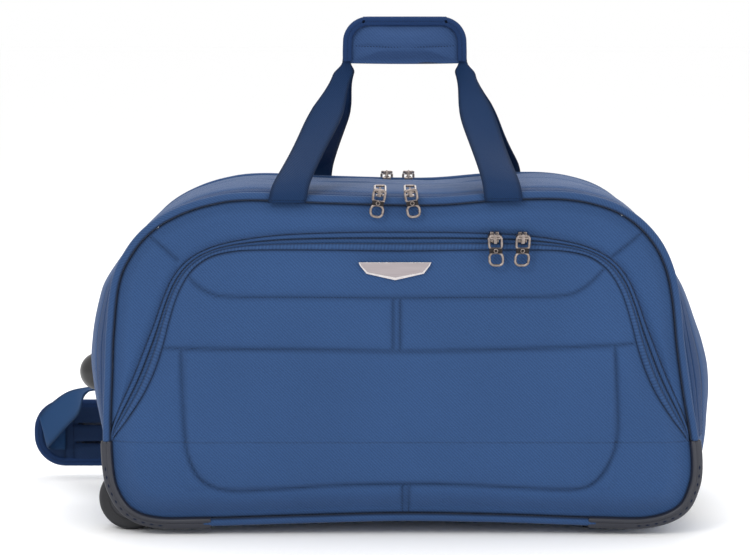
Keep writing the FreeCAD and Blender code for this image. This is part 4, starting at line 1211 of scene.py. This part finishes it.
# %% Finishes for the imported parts
FINISH = {
    "tyre_front": tyre_rubber, "tyre_rear": tyre_rubber, "hub_front": hub_grey, "hub_rear": hub_grey,
    "wheel_housings": black_plastic, "axles": axle_steel, "rest_feet": black_plastic,
    "stand_foot": dome_plastic, "base_board": board_grey, "base_tray": board_grey,
    "outer_tubes": tube_silver, "tube_collars": black_plastic, "trolley_cup": black_plastic,
    "ring_tabs": webbing_cloth, "d_rings": old_silver, "inner_tubes": tube_silver,
    "glide_plugs": black_plastic, "trolley_grip": black_plastic, "release_button": button_grey,
    "push_rods": axle_steel, "snap_hooks": old_silver, "strap_adjuster": black_plastic}
for node, skin in FINISH.items():
    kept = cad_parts[node]
    kept.data.materials.clear()
    kept.data.materials.append(skin)
    if not kept.data.uv_layers:
        kept.data.uv_layers.new(name="UVMap")

# %% Floor, light and camera
fresh()
bpy.ops.mesh.primitive_plane_add(size=60, location=(0, 0, 0))
floor = bpy.context.object
floor.name = "floor"
floor_skin, tree, shader = start("Pale floor", 0.9)
shader.inputs["Base Color"].default_value = (1.0, 1.0, 1.0, 1.0)
paint(floor, floor_skin)


def lamp(name, place, aim, size, power):
    light = bpy.data.lights.new(name, "AREA")
    light.shape = "DISK"
    light.size = size
    light.energy = power
    holder = bpy.data.objects.new(name, light)
    bpy.context.collection.objects.link(holder)
    holder.location = place
    holder.rotation_euler = (Vector(aim) - Vector(place)).to_track_quat("-Z", "Y").to_euler()


lamp("key", (-1.2, -2.4, 2.2), (0, 0, 0.2), 1.2, 26.0)
lamp("fill", (1.8, -2.2, 1.0), (0, 0, 0.2), 1.6, 12.0)
lamp("top", (0.0, 0.5, 2.6), (0, 0, 0.3), 1.8, 22.0)
lamp("back", (0.6, 2.6, 1.8), (0, 0, 0.2), 2.0, 20.0)
world = bpy.context.scene.world or bpy.data.worlds.new("Studio")
bpy.context.scene.world = world
world.use_nodes = True
world.node_tree.nodes["Background"].inputs["Color"].default_value = (1, 1, 1, 1)
world.node_tree.nodes["Background"].inputs["Strength"].default_value = 1.0
bpy.context.scene.view_settings.view_transform = "Standard"

CAMERA_DISTANCE = 2.6
ELEVATION = math.radians(6.0)
target = at(-25.0, FRONT, 261.0)
lens = bpy.data.cameras.new("camera")
lens.lens = 36.0 * CAMERA_DISTANCE / 0.75
camera = bpy.data.objects.new("camera", lens)
bpy.context.collection.objects.link(camera)
camera.location = target + Vector((0, -math.cos(ELEVATION), math.sin(ELEVATION))) * CAMERA_DISTANCE
camera.rotation_euler = (target - camera.location).to_track_quat("-Z", "Y").to_euler()
bpy.context.scene.camera = camera
